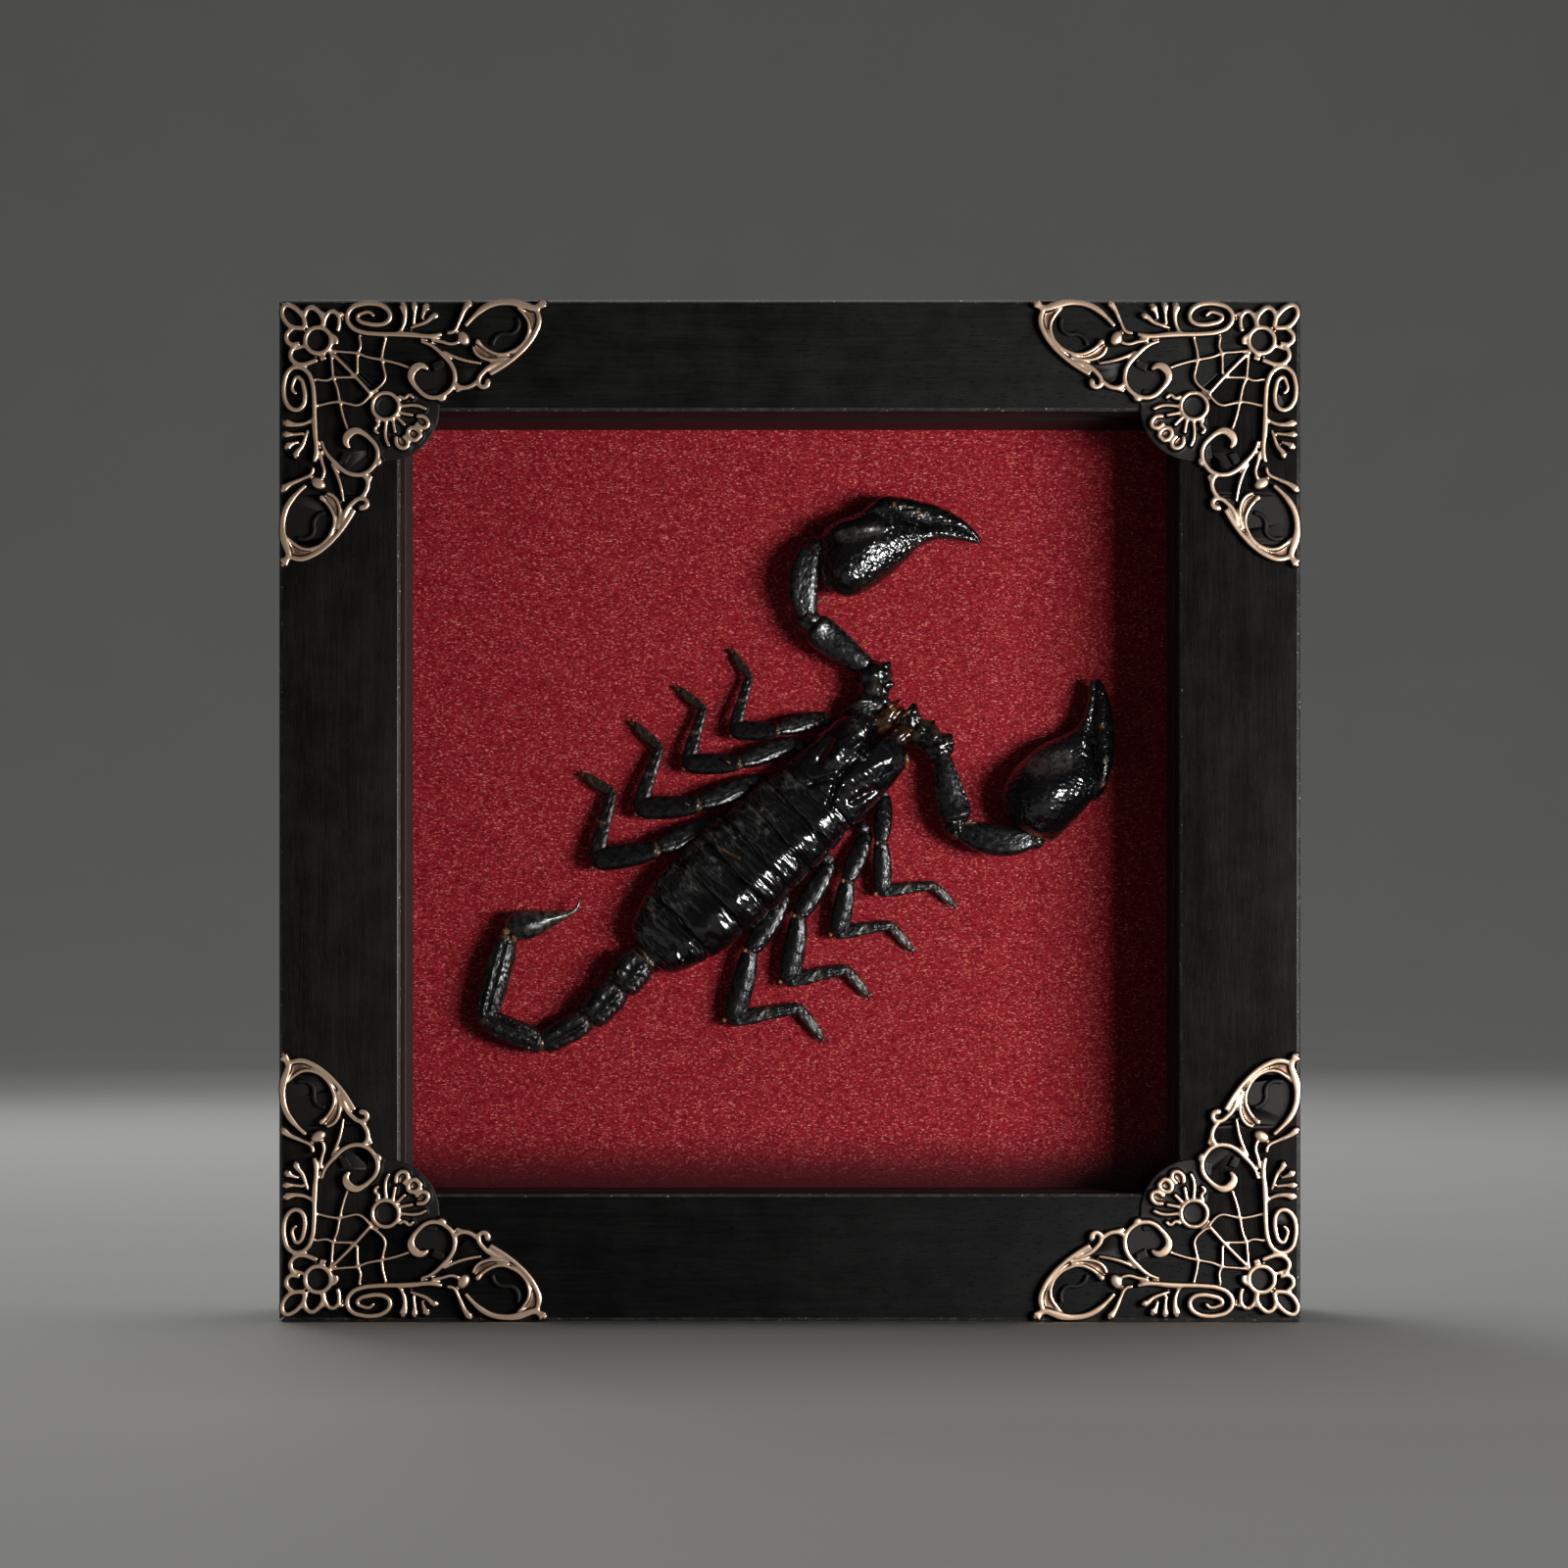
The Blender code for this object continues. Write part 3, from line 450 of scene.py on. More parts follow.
def extruded(name, rings):
    """A filled circle, extruded on for each further ring, then set to the rings' places."""
    nothing_selected()
    bpy.ops.mesh.primitive_circle_add(vertices=len(rings[0]), radius=1.0, fill_type="NGON")
    piece = bpy.context.object
    piece.name = name
    bpy.ops.object.mode_set(mode="EDIT")
    for _ in rings[1:]:
        bpy.ops.mesh.extrude_region_move(TRANSFORM_OT_translate={"value": (0.0, 0.0, 1.0)})
    done()
    places = [place for ring in rings for place in ring]
    for vertex, place in zip(piece.data.vertices, places):
        vertex.co = place
    outward(piece)
    return piece


def sculpt(piece, relief):
    """Move each point along its normal by relief(place, normal), in bench millimetres."""
    points = piece.data.vertices
    moves = [point.normal * relief(point.co, point.normal) for point in points]
    for point, move in zip(points, moves):
        point.co += move
    piece.data.update()


def clamped(value):
    return min(1.0, max(0.0, value))


def tint(piece, tan, dust=0.0):
    """Store how tan and how dusty a piece is at each point, from 0 to 1, for its finish to
    read. Each of the two is a number or a function of the place."""
    for name, share in (("tan", tan), ("dust", dust)):
        values = [share(point.co) if callable(share) else share for point in piece.data.vertices]
        layer = piece.data.attributes.new(name, "FLOAT", "POINT")
        layer.data.foreach_set("value", [clamped(value) for value in values])


def round_section(sides, flat_top=1.0, flat_side=1.0):
    """Unit ring of (across, up), squarer where flat_top or flat_side is under 1."""
    ring = []
    for k in range(sides):
        turn = math.tau * (k + 0.5) / sides
        across = math.copysign(abs(math.cos(turn)) ** flat_side, math.cos(turn))
        up = math.copysign(abs(math.sin(turn)) ** flat_top, math.sin(turn))
        ring.append((across, up))
    return ring


def let_out(section):
    """Rounding draws a ring in, so each ring is first made larger by this factor."""
    return 3.0 / (2.0 + math.cos(math.tau / len(section)))


def skin(name, stations, section, levels):
    """Shell over stations of (along, left, right, low, high), rounded off."""
    rings = []
    for along, left, right, low, high in stations:
        wide = (left - right) / 2 * let_out(section)
        tall = (high - low) / 2 * let_out(section)
        rings.append([(along, (left + right) / 2 + share * wide, (low + high) / 2 + rise * tall)
                      for share, rise in section])
    piece = extruded(name, rings)
    rounder(piece, levels)
    return piece


def bell(value, width):
    """1 where the value is 0, and fading to nothing a few widths away."""
    return math.exp(-(value / width) ** 2)


def on_board(x, z, heading=0.0, rise=0.0):
    """Matrix from the bench to the mount board, at x and z and rise millimetres off it.
    Heading turns X, in degrees."""
    turn = math.radians(heading)
    ahead = Vector((math.cos(turn), 0.0, math.sin(turn)))
    left = Vector((-math.sin(turn), 0.0, math.cos(turn)))
    toward = Vector((0.0, -1.0, 0.0))
    matrix = Matrix((ahead, left, toward)).transposed().to_4x4() @ Matrix.Scale(MM, 4)
    matrix.translation = Vector((x * MM, BOARD - rise * MM, z * MM))
    return matrix


def between(start, end, wide=1.0, tall=1.0, mirror=False):
    """Matrix that lays a piece of unit length from start to end, each (x, z, rise) in
    millimetres."""
    first = Vector((start[0] * MM, BOARD - start[2] * MM, start[1] * MM))
    last = Vector((end[0] * MM, BOARD - end[2] * MM, end[1] * MM))
    ahead = last - first
    left = Vector((0.0, -1.0, 0.0)).cross(ahead).normalized()
    up = ahead.normalized().cross(left)
    side = -1.0 if mirror else 1.0
    columns = Matrix((ahead, left * wide * MM * side, up * tall * MM)).transposed()
    matrix = columns.to_4x4()
    matrix.translation = first
    return matrix


# The frame

def make_rails():
    """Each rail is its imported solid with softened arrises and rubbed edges."""
    cool = ((0.0026, 0.0026, 0.0023), (0.0105, 0.0105, 0.0092))
    warm = ((0.0030, 0.0026, 0.0023), (0.0130, 0.0110, 0.0098))
    # The bottom rail's wood is a darker copy of the others: painted shade.
    low = ((0.0014, 0.0014, 0.0013), (0.0062, 0.0060, 0.0056))
    edge = worn_edge()
    plan = {
        "rail_top": black_wood("black wood of the top rail", 0, *cool, seam=0.2),
        "rail_bottom": black_wood("black wood of the bottom rail in painted shade", 0, *low, seam=3.9),
        "rail_left": black_wood("black wood of the left rail", 2, *warm),
        "rail_right": black_wood("black wood of the right rail", 2, *warm),
    }
    for node, wood in plan.items():
        piece = merged_copy(node, node.replace("rail", "wood_rail"))
        editing(piece)
        bpy.ops.mesh.bevel(offset=0.14 * MM, segments=2, affect="EDGES")
        done()
        finished(piece, [node], "black_wood", wood, edge)
        for face in piece.data.polygons:
            slanted = max(abs(part) for part in face.normal) < 0.97
            if slanted and face.center.y < FACE + 1.2 * MM:
                face.material_index = 1


def make_pane_and_card():
    """The pane, the card strips and the two boards keep their solids and get a finish."""
    # The side strips get a paler copy of the card and the top and bottom strips a darker copy:
    # painted light and painted shade on one card.
    pale = charcoal_card("charcoal card", (0.014, 0.014, 0.014), (0.036, 0.036, 0.034))
    shaded_card = charcoal_card("charcoal card in painted shade", (0.004, 0.004, 0.004), (0.010, 0.010, 0.010))
    plan = {"glass": clear_pane(), "mount_board": red_paper(), "back_board": hardboard(),
            "liner_left": pale, "liner_right": pale, "liner_top": shaded_card, "liner_bottom": shaded_card}
    for node, finish in plan.items():
        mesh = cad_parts[node].data
        mesh.materials.clear()
        mesh.materials.append(finish)


def make_fittings():
    """Tabs, hanger and nails on the back, with soft edges."""
    metal = zinc()
    nodes = [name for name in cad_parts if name.startswith("tab_") or name == "hanger"]
    for node in nodes:
        piece = merged_copy(node, "zinc_" + node)
        editing(piece)
        bpy.ops.mesh.bevel(offset=0.18 * MM, segments=2, affect="EDGES")
        done()
        finished(piece, [node], "steel", metal)
    for side in ("left", "right"):
        node = "hanger_nail_" + side
        low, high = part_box(node)
        foot = ((low.x + high.x) / 2, low.y, (low.z + high.z) / 2)
        radius = (high.x - low.x) / 2
        nothing_selected()
        bpy.ops.mesh.primitive_uv_sphere_add(segments=24, ring_count=12, radius=radius,
                                             location=foot, rotation=(math.radians(90), 0.0, 0.0))
        piece = bpy.context.object
        piece.name = "zinc_nail_" + side
        bpy.ops.object.transform_apply(location=True, rotation=True)
        editing(piece)
        bpy.ops.transform.resize(value=(1.0, (high.y - low.y) / radius, 1.0), center_override=foot)
        bpy.ops.mesh.bisect(plane_co=foot, plane_no=(0.0, 1.0, 0.0), use_fill=True,
                            clear_inner=True)
        done()
        outward(piece)
        finished(piece, [node], "steel", metal)


# The pierced corners. Places are millimetres in from the box's outer corner, across and then
# down. Each line is its half width, one of the first four here or near it, and the places it
# passes through. A third number at a place swells or thins the line there.
LINE = 0.57
THIN = 0.34
RAY = 0.45
BOLD = 0.68
WALL_HEIGHT = 1.66
FLOWER_LINES = [
    (LINE, [(4.5, 5.1), (2.3, 4.8), (1.2, 3.8), (0.7, 2.2), (1.3, 1.3), (2.4, 1.5), (3.9, 2.8),
            (4.4, 3.6), (4.6, 5.0)]),
    (LINE, [(4.6, 4.9), (4.4, 2.9), (5.4, 1.7), (6.5, 2.1), (7.5, 3.7), (7.4, 4.8)]),
    (LINE * 0.9, [(7.6, 4.6), (7.9, 3.3), (8.9, 2.3), (9.9, 2.8), (10.2, 4.2), (9.9, 5.6)]),
    (RAY, [(7.2, 2.5), (7.8, 2.9), (8.3, 3.0)]),
    (RAY, [(9.8, 2.8), (10.8, 2.7)]),
    (LINE, [(8.8, 6.2), (9.7, 6.9), (9.6, 7.8)]),
    (LINE, [(2.4, 5.1), (1.4, 6.4), (2.1, 7.7), (3.6, 7.6)]),
    (LINE, [(2.7, 8.0), (2.1, 9.6), (2.9, 10.8), (4.2, 11.1), (5.6, 10.7), (6.6, 10.3)]),
    (RAY, [(2.9, 8.5), (4.4, 8.0)]),
    (LINE, [(7.0, 10.2), (8.0, 9.9)]),
]
HALF_LINES = [
    (LINE, [(23.5, 6.3), (19.6, 6.1), (16.3, 6.0), (14.0, 5.7), (12.2, 4.8), (11.5, 3.2),
            (12.2, 1.8), (14.0, 1.1), (15.8, 1.0), (17.4, 1.4), (18.5, 2.4), (18.6, 3.4),
            (17.9, 4.2), (16.8, 4.5), (14.8, 4.3), (13.5, 3.8, 0.9), (13.2, 3.1, 0.85),
            (14.0, 2.6, 0.8), (15.2, 2.4, 0.8), (16.0, 3.1, 0.75)]),
    (LINE, [(19.8, 6.0), (22.3, 6.1), (24.6, 6.4), (26.3, 6.3), (27.3, 6.0, 0.8)]),
    (RAY, [(28.1, 5.9), (29.2, 5.6), (30.1, 4.0), (31.0, 2.0, 1.3), (31.8, 0.9, 1.8)]),
    (LINE, [(20.1, 5.8, 0.7), (20.8, 4.7, 0.8), (21.1, 2.9), (20.8, 1.4, 1.5)]),
    (RAY, [(22.5, 4.3, 0.8), (22.7, 2.6), (22.7, 1.3, 1.7)]),
    (RAY, [(23.9, 3.5, 0.7), (24.3, 2.3, 1.2), (24.7, 1.6, 2.0)]),
    (RAY, [(21.9, 5.0, 0.7), (23.2, 4.6), (24.7, 4.0, 1.1), (25.7, 3.2, 1.4), (26.2, 3.0, 1.7)]),
    (RAY, [(25.5, 7.0), (27.2, 7.3), (28.8, 7.7), (30.0, 7.4)]),
    (LINE, [(23.7, 7.2, 0.7), (25.5, 7.9, 0.8), (27.4, 9.5), (28.8, 11.1), (29.4, 12.8),
            (29.2, 14.4), (28.1, 15.8), (26.2, 16.6), (24.6, 16.3), (23.2, 15.1), (22.5, 14.2, 1.1),
            (22.1, 13.0, 1.4), (22.8, 11.7, 1.6), (23.9, 11.3, 1.3), (25.0, 11.9, 0.8)]),
    (RAY, [(27.5, 8.9, 0.8), (29.3, 9.8), (31.1, 10.4), (33.8, 10.9, 0.7)]),
    (BOLD, [(31.1, 4.7, 0.7), (32.4, 3.3, 0.8), (33.8, 2.1), (35.5, 1.2), (37.8, 0.8),
            (40.0, 1.0, 1.2), (41.5, 1.5, 1.1), (42.6, 1.8), (43.4, 1.5), (44.1, 0.9, 1.5)]),
    (LINE, [(43.0, 1.9), (43.4, 3.8, 1.1), (42.7, 5.9, 1.1), (41.4, 7.9), (39.6, 9.7), (38.1, 10.9),
            (36.4, 12.0), (35.2, 12.7)]),
    (RAY, [(39.8, 1.5), (41.0, 2.9), (41.7, 4.3), (41.5, 6.2), (40.5, 7.8), (38.7, 9.0),
           (36.9, 9.4), (35.2, 8.9), (33.9, 8.0), (33.1, 7.2, 1.5)]),
    (RAY, [(38.4, 9.9), (36.4, 10.3), (34.3, 10.1), (32.9, 9.2), (32.4, 8.1)]),
    (LINE, [(37.8, 10.6, 0.8), (35.7, 11.2), (34.3, 12.2), (33.3, 13.9), (33.8, 14.8),
            (34.7, 14.6, 1.1), (34.9, 13.9, 1.2)]),
    (LINE, [(33.2, 13.9), (31.8, 14.8), (30.4, 14.9), (29.4, 14.3)]),
    (RAY, [(29.5, 15.5), (30.8, 15.1)]),
    (THIN, [(9.0, 8.8), (11.2, 9.0), (13.2, 9.2), (14.8, 9.8), (16.8, 10.2), (19.5, 10.8),
            (22.2, 11.7)]),
    (THIN, [(13.5, 6.3), (13.7, 8.2), (13.3, 9.1), (13.2, 10.7), (13.2, 12.6)]),
    (THIN, [(18.0, 6.3), (17.3, 9.5), (17.3, 10.4), (17.6, 11.8), (17.8, 13.4), (16.3, 15.2),
            (15.3, 15.8)]),
    (RAY, [(20.1, 16.3), (21.0, 16.7), (21.8, 16.1), (22.6, 16.7)]),
    (RAY, [(20.3, 18.0), (23.2, 17.9), (24.7, 18.5)]),
    (RAY, [(20.3, 19.1), (22.5, 19.5)]),
    (RAY * 1.2, [(23.0, 19.6), (24.5, 19.9), (24.9, 21.2), (24.0, 21.6), (22.9, 20.8)]),
    (RAY, [(19.6, 19.6), (21.2, 21.2)]),
    (RAY * 1.2, [(21.6, 22.2), (22.1, 21.6), (23.7, 22.7), (23.3, 23.3)]),
]
DIAGONAL_LINES = [(THIN * 1.3, [(9.2, 9.4), (12.6, 12.8), (15.3, 15.8)])]
CIRCLES = [((6.7, 7.1), 2.15, LINE), ((17.9, 18.0), 2.2, LINE * 0.9)]
# Buds and beads: centre, half sizes, turn in degrees
HALF_BEADS = [
    ((30.8, 6.7), (1.55, 1.15), 60.0),
    ((27.3, 16.7), (1.0, 0.75), -30.0),
    ((44.2, 0.95), (0.75, 0.75), 0.0),
    ((20.8, 1.25), (0.72, 0.72), 0.0),
    ((22.7, 1.15), (0.66, 0.66), 0.0),
    ((24.8, 1.45), (0.72, 0.60), 35.0),
    ((26.3, 3.0), (0.66, 0.60), 0.0),
    ((31.9, 0.85), (0.70, 0.70), 0.0),
    ((34.9, 13.9), (0.75, 0.75), 0.0),
    ((33.1, 7.2), (0.55, 0.55), 0.0),
]
# Low webs of metal between lines: the web's height off the wood and its outline
HALF_WEBS = [
    (1.05, [(41.2, 1.5), (43.0, 2.0), (43.4, 3.8), (42.5, 6.1), (41.0, 8.3), (41.5, 6.2),
            (41.7, 4.3), (41.0, 2.9), (39.8, 1.5)]),
    (1.05, [(33.0, 7.4), (33.9, 8.1), (35.2, 9.0), (36.9, 9.5), (38.6, 9.3), (36.4, 10.3),
            (34.3, 10.1), (32.9, 9.2), (32.4, 8.1)]),
    (0.85, [(25.4, 10.8), (27.1, 10.1), (27.7, 11.2), (25.9, 12.2)]),
    (1.0, [(23.1, 19.8), (24.4, 20.0), (24.7, 21.1), (24.0, 21.4), (23.1, 20.8)]),
    (1.0, [(21.9, 22.2), (22.2, 21.8), (23.5, 22.7), (23.2, 23.1)]),
]
LOW_CURL = [(39.8, 3.1), (39.9, 4.6), (38.9, 5.8), (37.1, 5.9), (36.0, 6.6), (35.5, 7.8)]
# How finely a corner is cast, and how far it stays in from the edges of the box
CORNER_VOXEL = 0.15
CORNER_MARGIN = 0.1
# Where the crests start to round off, and how far they stand out at most
CREST_START = 1.25
CREST_TOP = 1.68
# The sheet behind the rosette is a low, blackened fan, a dark sheet of painted shade in the
# window's corner between the petals: its middle, its radius, its tip and its height
ROSETTE_PLATE = ((17.8, 18.0), 9.0, (16.0, 16.4), 0.42)


def swapped(places):
    return [(place[1], place[0], *place[2:]) for place in places]


def corner_place(place):
    """World place of a pattern place on the top left corner, before it gets its height."""
    return (LEFT_EDGE + place[0] * MM, 0.0, TOP_EDGE - place[1] * MM)


def bronze_lines(lines, name, height):
    """Round bars along smooth lines, raised into walls that stand on the wood."""
    nothing_selected()
    bpy.ops.curve.primitive_bezier_curve_add()
    drawing = bpy.context.object
    drawing.name = name
    curve = drawing.data
    curve.splines.clear()
    curve.dimensions = "3D"
    curve.bevel_depth = MM
    curve.bevel_resolution = 3
    curve.resolution_u = 5
    curve.use_fill_caps = True
    for half_width, places, closed in lines:
        spline = curve.splines.new("BEZIER")
        spline.bezier_points.add(len(places) - 1)
        spline.use_cyclic_u = closed
        for point, place in zip(spline.bezier_points, places):
            point.co = corner_place(place)
            point.radius = half_width * (place[2] if len(place) > 2 else 1.0)
            point.handle_left_type = "AUTO"
            point.handle_right_type = "AUTO"
    bpy.ops.object.convert(target="MESH")
    bars = bpy.context.object
    stretch = height / 2 / LINE
    matrix = Matrix.Translation((0.0, FACE - height * MM / 2, 0.0))
    return laid(bars, matrix @ Matrix.Diagonal((1.0, stretch, 1.0, 1.0)))


def bronze_web(places, height, name):
    """A low sheet of metal with the outline of the places."""
    nothing_selected()
    bpy.ops.mesh.primitive_circle_add(vertices=len(places), radius=MM, fill_type="NGON")
    web = bpy.context.object
    web.name = name
    for vertex, place in zip(web.data.vertices, places):
        across, _, up = corner_place(place)
        vertex.co = Vector((across, FACE - height * MM, up)) - web.location
    editing(web)
    bpy.ops.mesh.extrude_region_move(TRANSFORM_OT_translate={"value": (0.0, height * MM, 0.0)})
    done()
    bpy.ops.object.transform_apply(location=True)
    outward(web)
    return web


def bronze_bead(centre, radii, turn, name):
    """An egg-shaped bead, as high as the bars."""
    nothing_selected()
    across, _, up = corner_place(centre)
    bpy.ops.mesh.primitive_uv_sphere_add(segments=16, ring_count=10, radius=MM)
    bead = bpy.context.object
    bead.name = name
    rise = WALL_HEIGHT * 0.60
    matrix = Matrix.Translation((across, FACE - (WALL_HEIGHT - rise) * MM, up))
    matrix = matrix @ Matrix.Rotation(math.radians(turn), 4, "Y")
    return laid(bead, matrix @ Matrix.Diagonal((radii[0], rise, radii[1], 1.0)))


def corner_parts():
    """The bars, beads and webs of the top left corner, most of them in mirrored pairs."""
    lines = [(half, places, False) for half, places in FLOWER_LINES + DIAGONAL_LINES]
    for half, places in HALF_LINES:
        lines += [(half, places, False), (half, swapped(places), False)]
    for centre, radius, half in CIRCLES:
        turns = [math.tau * k / 8 for k in range(8)]
        ring = [(centre[0] + radius * math.cos(t), centre[1] + radius * math.sin(t)) for t in turns]
        lines.append((half, ring, True))
    parts = [bronze_lines(lines, "bars", WALL_HEIGHT)]
    low_lines = [(RAY, LOW_CURL, False), (RAY, swapped(LOW_CURL), False)]
    parts.append(bronze_lines(low_lines, "low curls", WALL_HEIGHT * 0.5))
    for centre, radii, turn in HALF_BEADS:
        parts.append(bronze_bead(centre, radii, turn, "bead"))
        parts.append(bronze_bead(swapped([centre])[0], radii[::-1], -turn, "bead"))
    for height, places in HALF_WEBS:
        parts.append(bronze_web(places, height, "web"))
        parts.append(bronze_web(swapped(places), height, "web"))
    # A low dark fan behind the rosette: painted shade over the window's corner.
    (left, down), radius, tip, height = ROSETTE_PLATE
    turns = [math.radians(-20 + 10 * k) for k in range(14)]
    plate = [(left + radius * math.cos(turn), down + radius * math.sin(turn)) for turn in turns]
    parts.append(bronze_web(plate + [tip], height, "dark fan of painted shade behind the rosette"))
    return parts


def cast(parts, name):
    """Cast the parts into one, with soft joints, rounded crests and a flat back."""
    casting = joined(parts, name)
    apply_modifier(casting, "REMESH", mode="VOXEL", voxel_size=CORNER_VOXEL * MM)
    apply_modifier(casting, "SMOOTH", factor=0.5, iterations=3)
    for vertex in casting.data.vertices:
        vertex.co.x = max(vertex.co.x, LEFT_EDGE + CORNER_MARGIN * MM)
        vertex.co.z = min(vertex.co.z, TOP_EDGE - CORNER_MARGIN * MM)
        rise = (FACE - vertex.co.y) * PER_MM
        if rise > CREST_START:
            span = CREST_TOP - CREST_START
            vertex.co.y = FACE - (CREST_START + span * math.tanh((rise - CREST_START) / span)) * MM
    apply_modifier(casting, "DECIMATE", ratio=0.45)
    editing(casting)
    bpy.ops.mesh.bisect(plane_co=(0.0, FACE - 0.02 * MM, 0.0), plane_no=(0.0, 1.0, 0.0),
                        use_fill=True, clear_outer=True)
    done()
    outward(casting)
    return casting


def make_corners():
    """The top left corner is cast, and the other three are mirrored from it."""
    casting = cast(corner_parts(), "bronze_corner_top_left")
    bronze = antique_bronze()
    middle = Matrix.Translation((0.0, 0.0, MID_HEIGHT))
    flips = {"top_right": (-1, 1), "bottom_left": (1, -1), "bottom_right": (-1, -1)}
    for name, (across, up) in flips.items():
        copy = twin(casting)
        copy.name = "bronze_corner_" + name
        flip = Matrix.Diagonal((across, 1.0, up, 1.0))
        laid(copy, middle @ flip @ middle.inverted())
        # A pass through edit mode parts the copy's list of faces from the casting's
        editing(copy)
        done()
        finished(copy, ["corner_" + name], "antique_bronze", bronze)
    finished(casting, ["corner_top_left"], "antique_bronze", bronze)


# The specimen's trunk

TRUNK_HEADING = 42.7
TRUNK = on_board(5.4, 88.3, TRUNK_HEADING)


def folds(place, along_scale, across_scale, seed=0.0):
    """Noise drawn out across the trunk, so that it reads as folds."""
    where = Vector((place.x * along_scale, place.y * across_scale, place.z * 0.3 + seed))
    return noise.noise(where)


def near_line(place, start, end, width):
    """How near a place is to a line on the bench, 1 on it and 0 away from it."""
    line = Vector(end) - Vector(start)
    offset = Vector((place.x, place.y)) - Vector(start)
    share = clamped(offset.dot(line) / line.length_squared)
    return bell((offset - line * share).length, width)


# The lines of the carapace: height, start, end and width. First the furrow between the two
# front lobes and its fork to the rear, then the ridge of the eyes, a crest on each lobe and
# two finer ones, and a dent on each side.
CARAPACE_LINES = [
    (-1.30, (14.0, 1.35), (9.5, 0.35), 0.75),
    (-0.80, (9.5, 0.35), (3.0, 0.3), 0.50),
    (-0.75, (3.2, -0.2), (-0.9, -2.6), 0.45),
    (-0.75, (3.2, 0.9), (-0.9, 3.0), 0.45),
    (0.42, (9.4, 0.35), (7.0, 0.15), 0.30),
    (0.70, (12.8, -3.1), (4.4, -1.0), 1.5),
    (0.60, (13.6, 4.4), (6.0, 3.2), 1.3),
    (0.45, (11.9, 1.9), (8.6, 2.1), 0.5),
    (0.35, (3.4, -1.2), (-0.8, -3.2), 0.4),
    (-0.55, (7.2, -5.6), (3.0, -4.4), 0.7),
    (-0.50, (7.6, 5.8), (3.2, 4.6), 0.7),
]


def carapace_relief(place, normal):
    """The lines above, with ripples across them, beads along the crests and a raised rim."""
    top = max(0.0, normal.z) ** 0.6
    form = sum(height * near_line(place, *line) for height, *line in CARAPACE_LINES)
    rear = -0.40 * bell(place.x, 0.35)
    ripple = 0.075 * noise.noise(Vector((place.x * 2.4, place.y * 0.7, 5.0)))
    ripple += 0.055 * noise.noise(Vector((place.x * 3.9, place.y * 1.5, 9.0)))
    beads = near_line(place, (11.8, 2.0), (1.6, 1.6), 0.9)
    beads += near_line(place, (11.0, -4.6), (2.0, -3.6), 0.8)
    ripple += grains(place, 1.15, 0.16) * min(1.0, beads)
    swell = 0.16 * noise.fractal(place * 0.45, 0.9, 2.1, 3)
    rim = 0.30 * bell(place.z - 1.3, 0.5)
    return (form + rear + ripple) * top + swell + rim


def make_carapace(shell):
    stations = [
        (-1.7, 7.2, -6.6, 1.2, 7.6),
        (-1.2, 7.8, -7.2, 0.7, 8.0),
        (1.0, 8.1, -7.7, 0.5, 8.4),
        (4.0, 8.2, -7.6, 0.4, 8.6),
        (7.0, 8.0, -7.2, 0.4, 8.8),
        (9.8, 7.7, -6.8, 0.5, 8.7),
        (12.2, 7.3, -6.5, 0.6, 8.3),
        (14.2, 6.6, -5.9, 0.8, 7.7),
        (15.7, 5.6, -4.6, 1.2, 6.8),
        (16.4, 4.2, -3.0, 2.0, 5.5),
    ]
    piece = skin("carapace_shell", stations, round_section(16, 0.85, 0.72), 4)
    # The front edge is notched between the two lobes
    for point in piece.data.vertices:
        place = point.co
        notch = bell(place.y - 1.2, 1.15) * max(0.0, place.x - 11.0) * 0.62
        place.x -= notch
        place.z -= 0.5 * notch
    sculpt(piece, carapace_relief)

    def rim_tan(place):
        edge = bell(place.z - 1.5, 0.55) * max(0.0, noise.noise(place * 0.9) + 0.45)
        return 0.9 * edge

    def dust(place):
        patch = near_line(place, (13.0, 5.2), (11.6, 5.3), 1.1)
        return patch * (0.6 + noise.noise(place * 2.0)) + 0.3 * folds(place, 1.2, 0.4, 2.0)

    tint(piece, rim_tan, dust)
    laid(piece, TRUNK)
    finished(piece, ["carapace"], "black_shell", shell)


# Back plates: where each starts, its half widths left and right, and its height
PLATES = [
    (-1.3, 7.8, -7.5, 8.1),
    (-5.2, 8.4, -8.1, 8.4),
    (-10.1, 9.0, -8.4, 8.7),
    (-14.9, 9.4, -8.6, 8.9),
    (-19.9, 9.5, -8.7, 8.9),
    (-25.4, 9.2, -8.5, 8.6),
    (-32.8, 8.4, -7.5, 7.8),
    (-38.9, 5.8, -5.2, 6.4),
]
ABDOMEN_TIP = [(-39.9, 4.7, -4.4, 0.9, 5.9), (-40.6, 3.2, -3.0, 1.4, 5.0)]
# The front of the abdomen, which is drawn in under the carapace
ABDOMEN_FRONT = [(0.6, 6.6, -6.0, 0.9, 6.8), (-0.5, 7.2, -6.8, 0.5, 7.6)]
# How a plate swells: the share of its length, its width and the height added there. Its
# front edge is low, where the plate before overlaps it.
PLATE_STEPS = ((0.0, 0.935, -0.95), (0.08, 0.985, -0.12), (0.35, 1.005, 0.12), (0.70, 1.005, 0.14),
               (0.94, 0.995, 0.12))


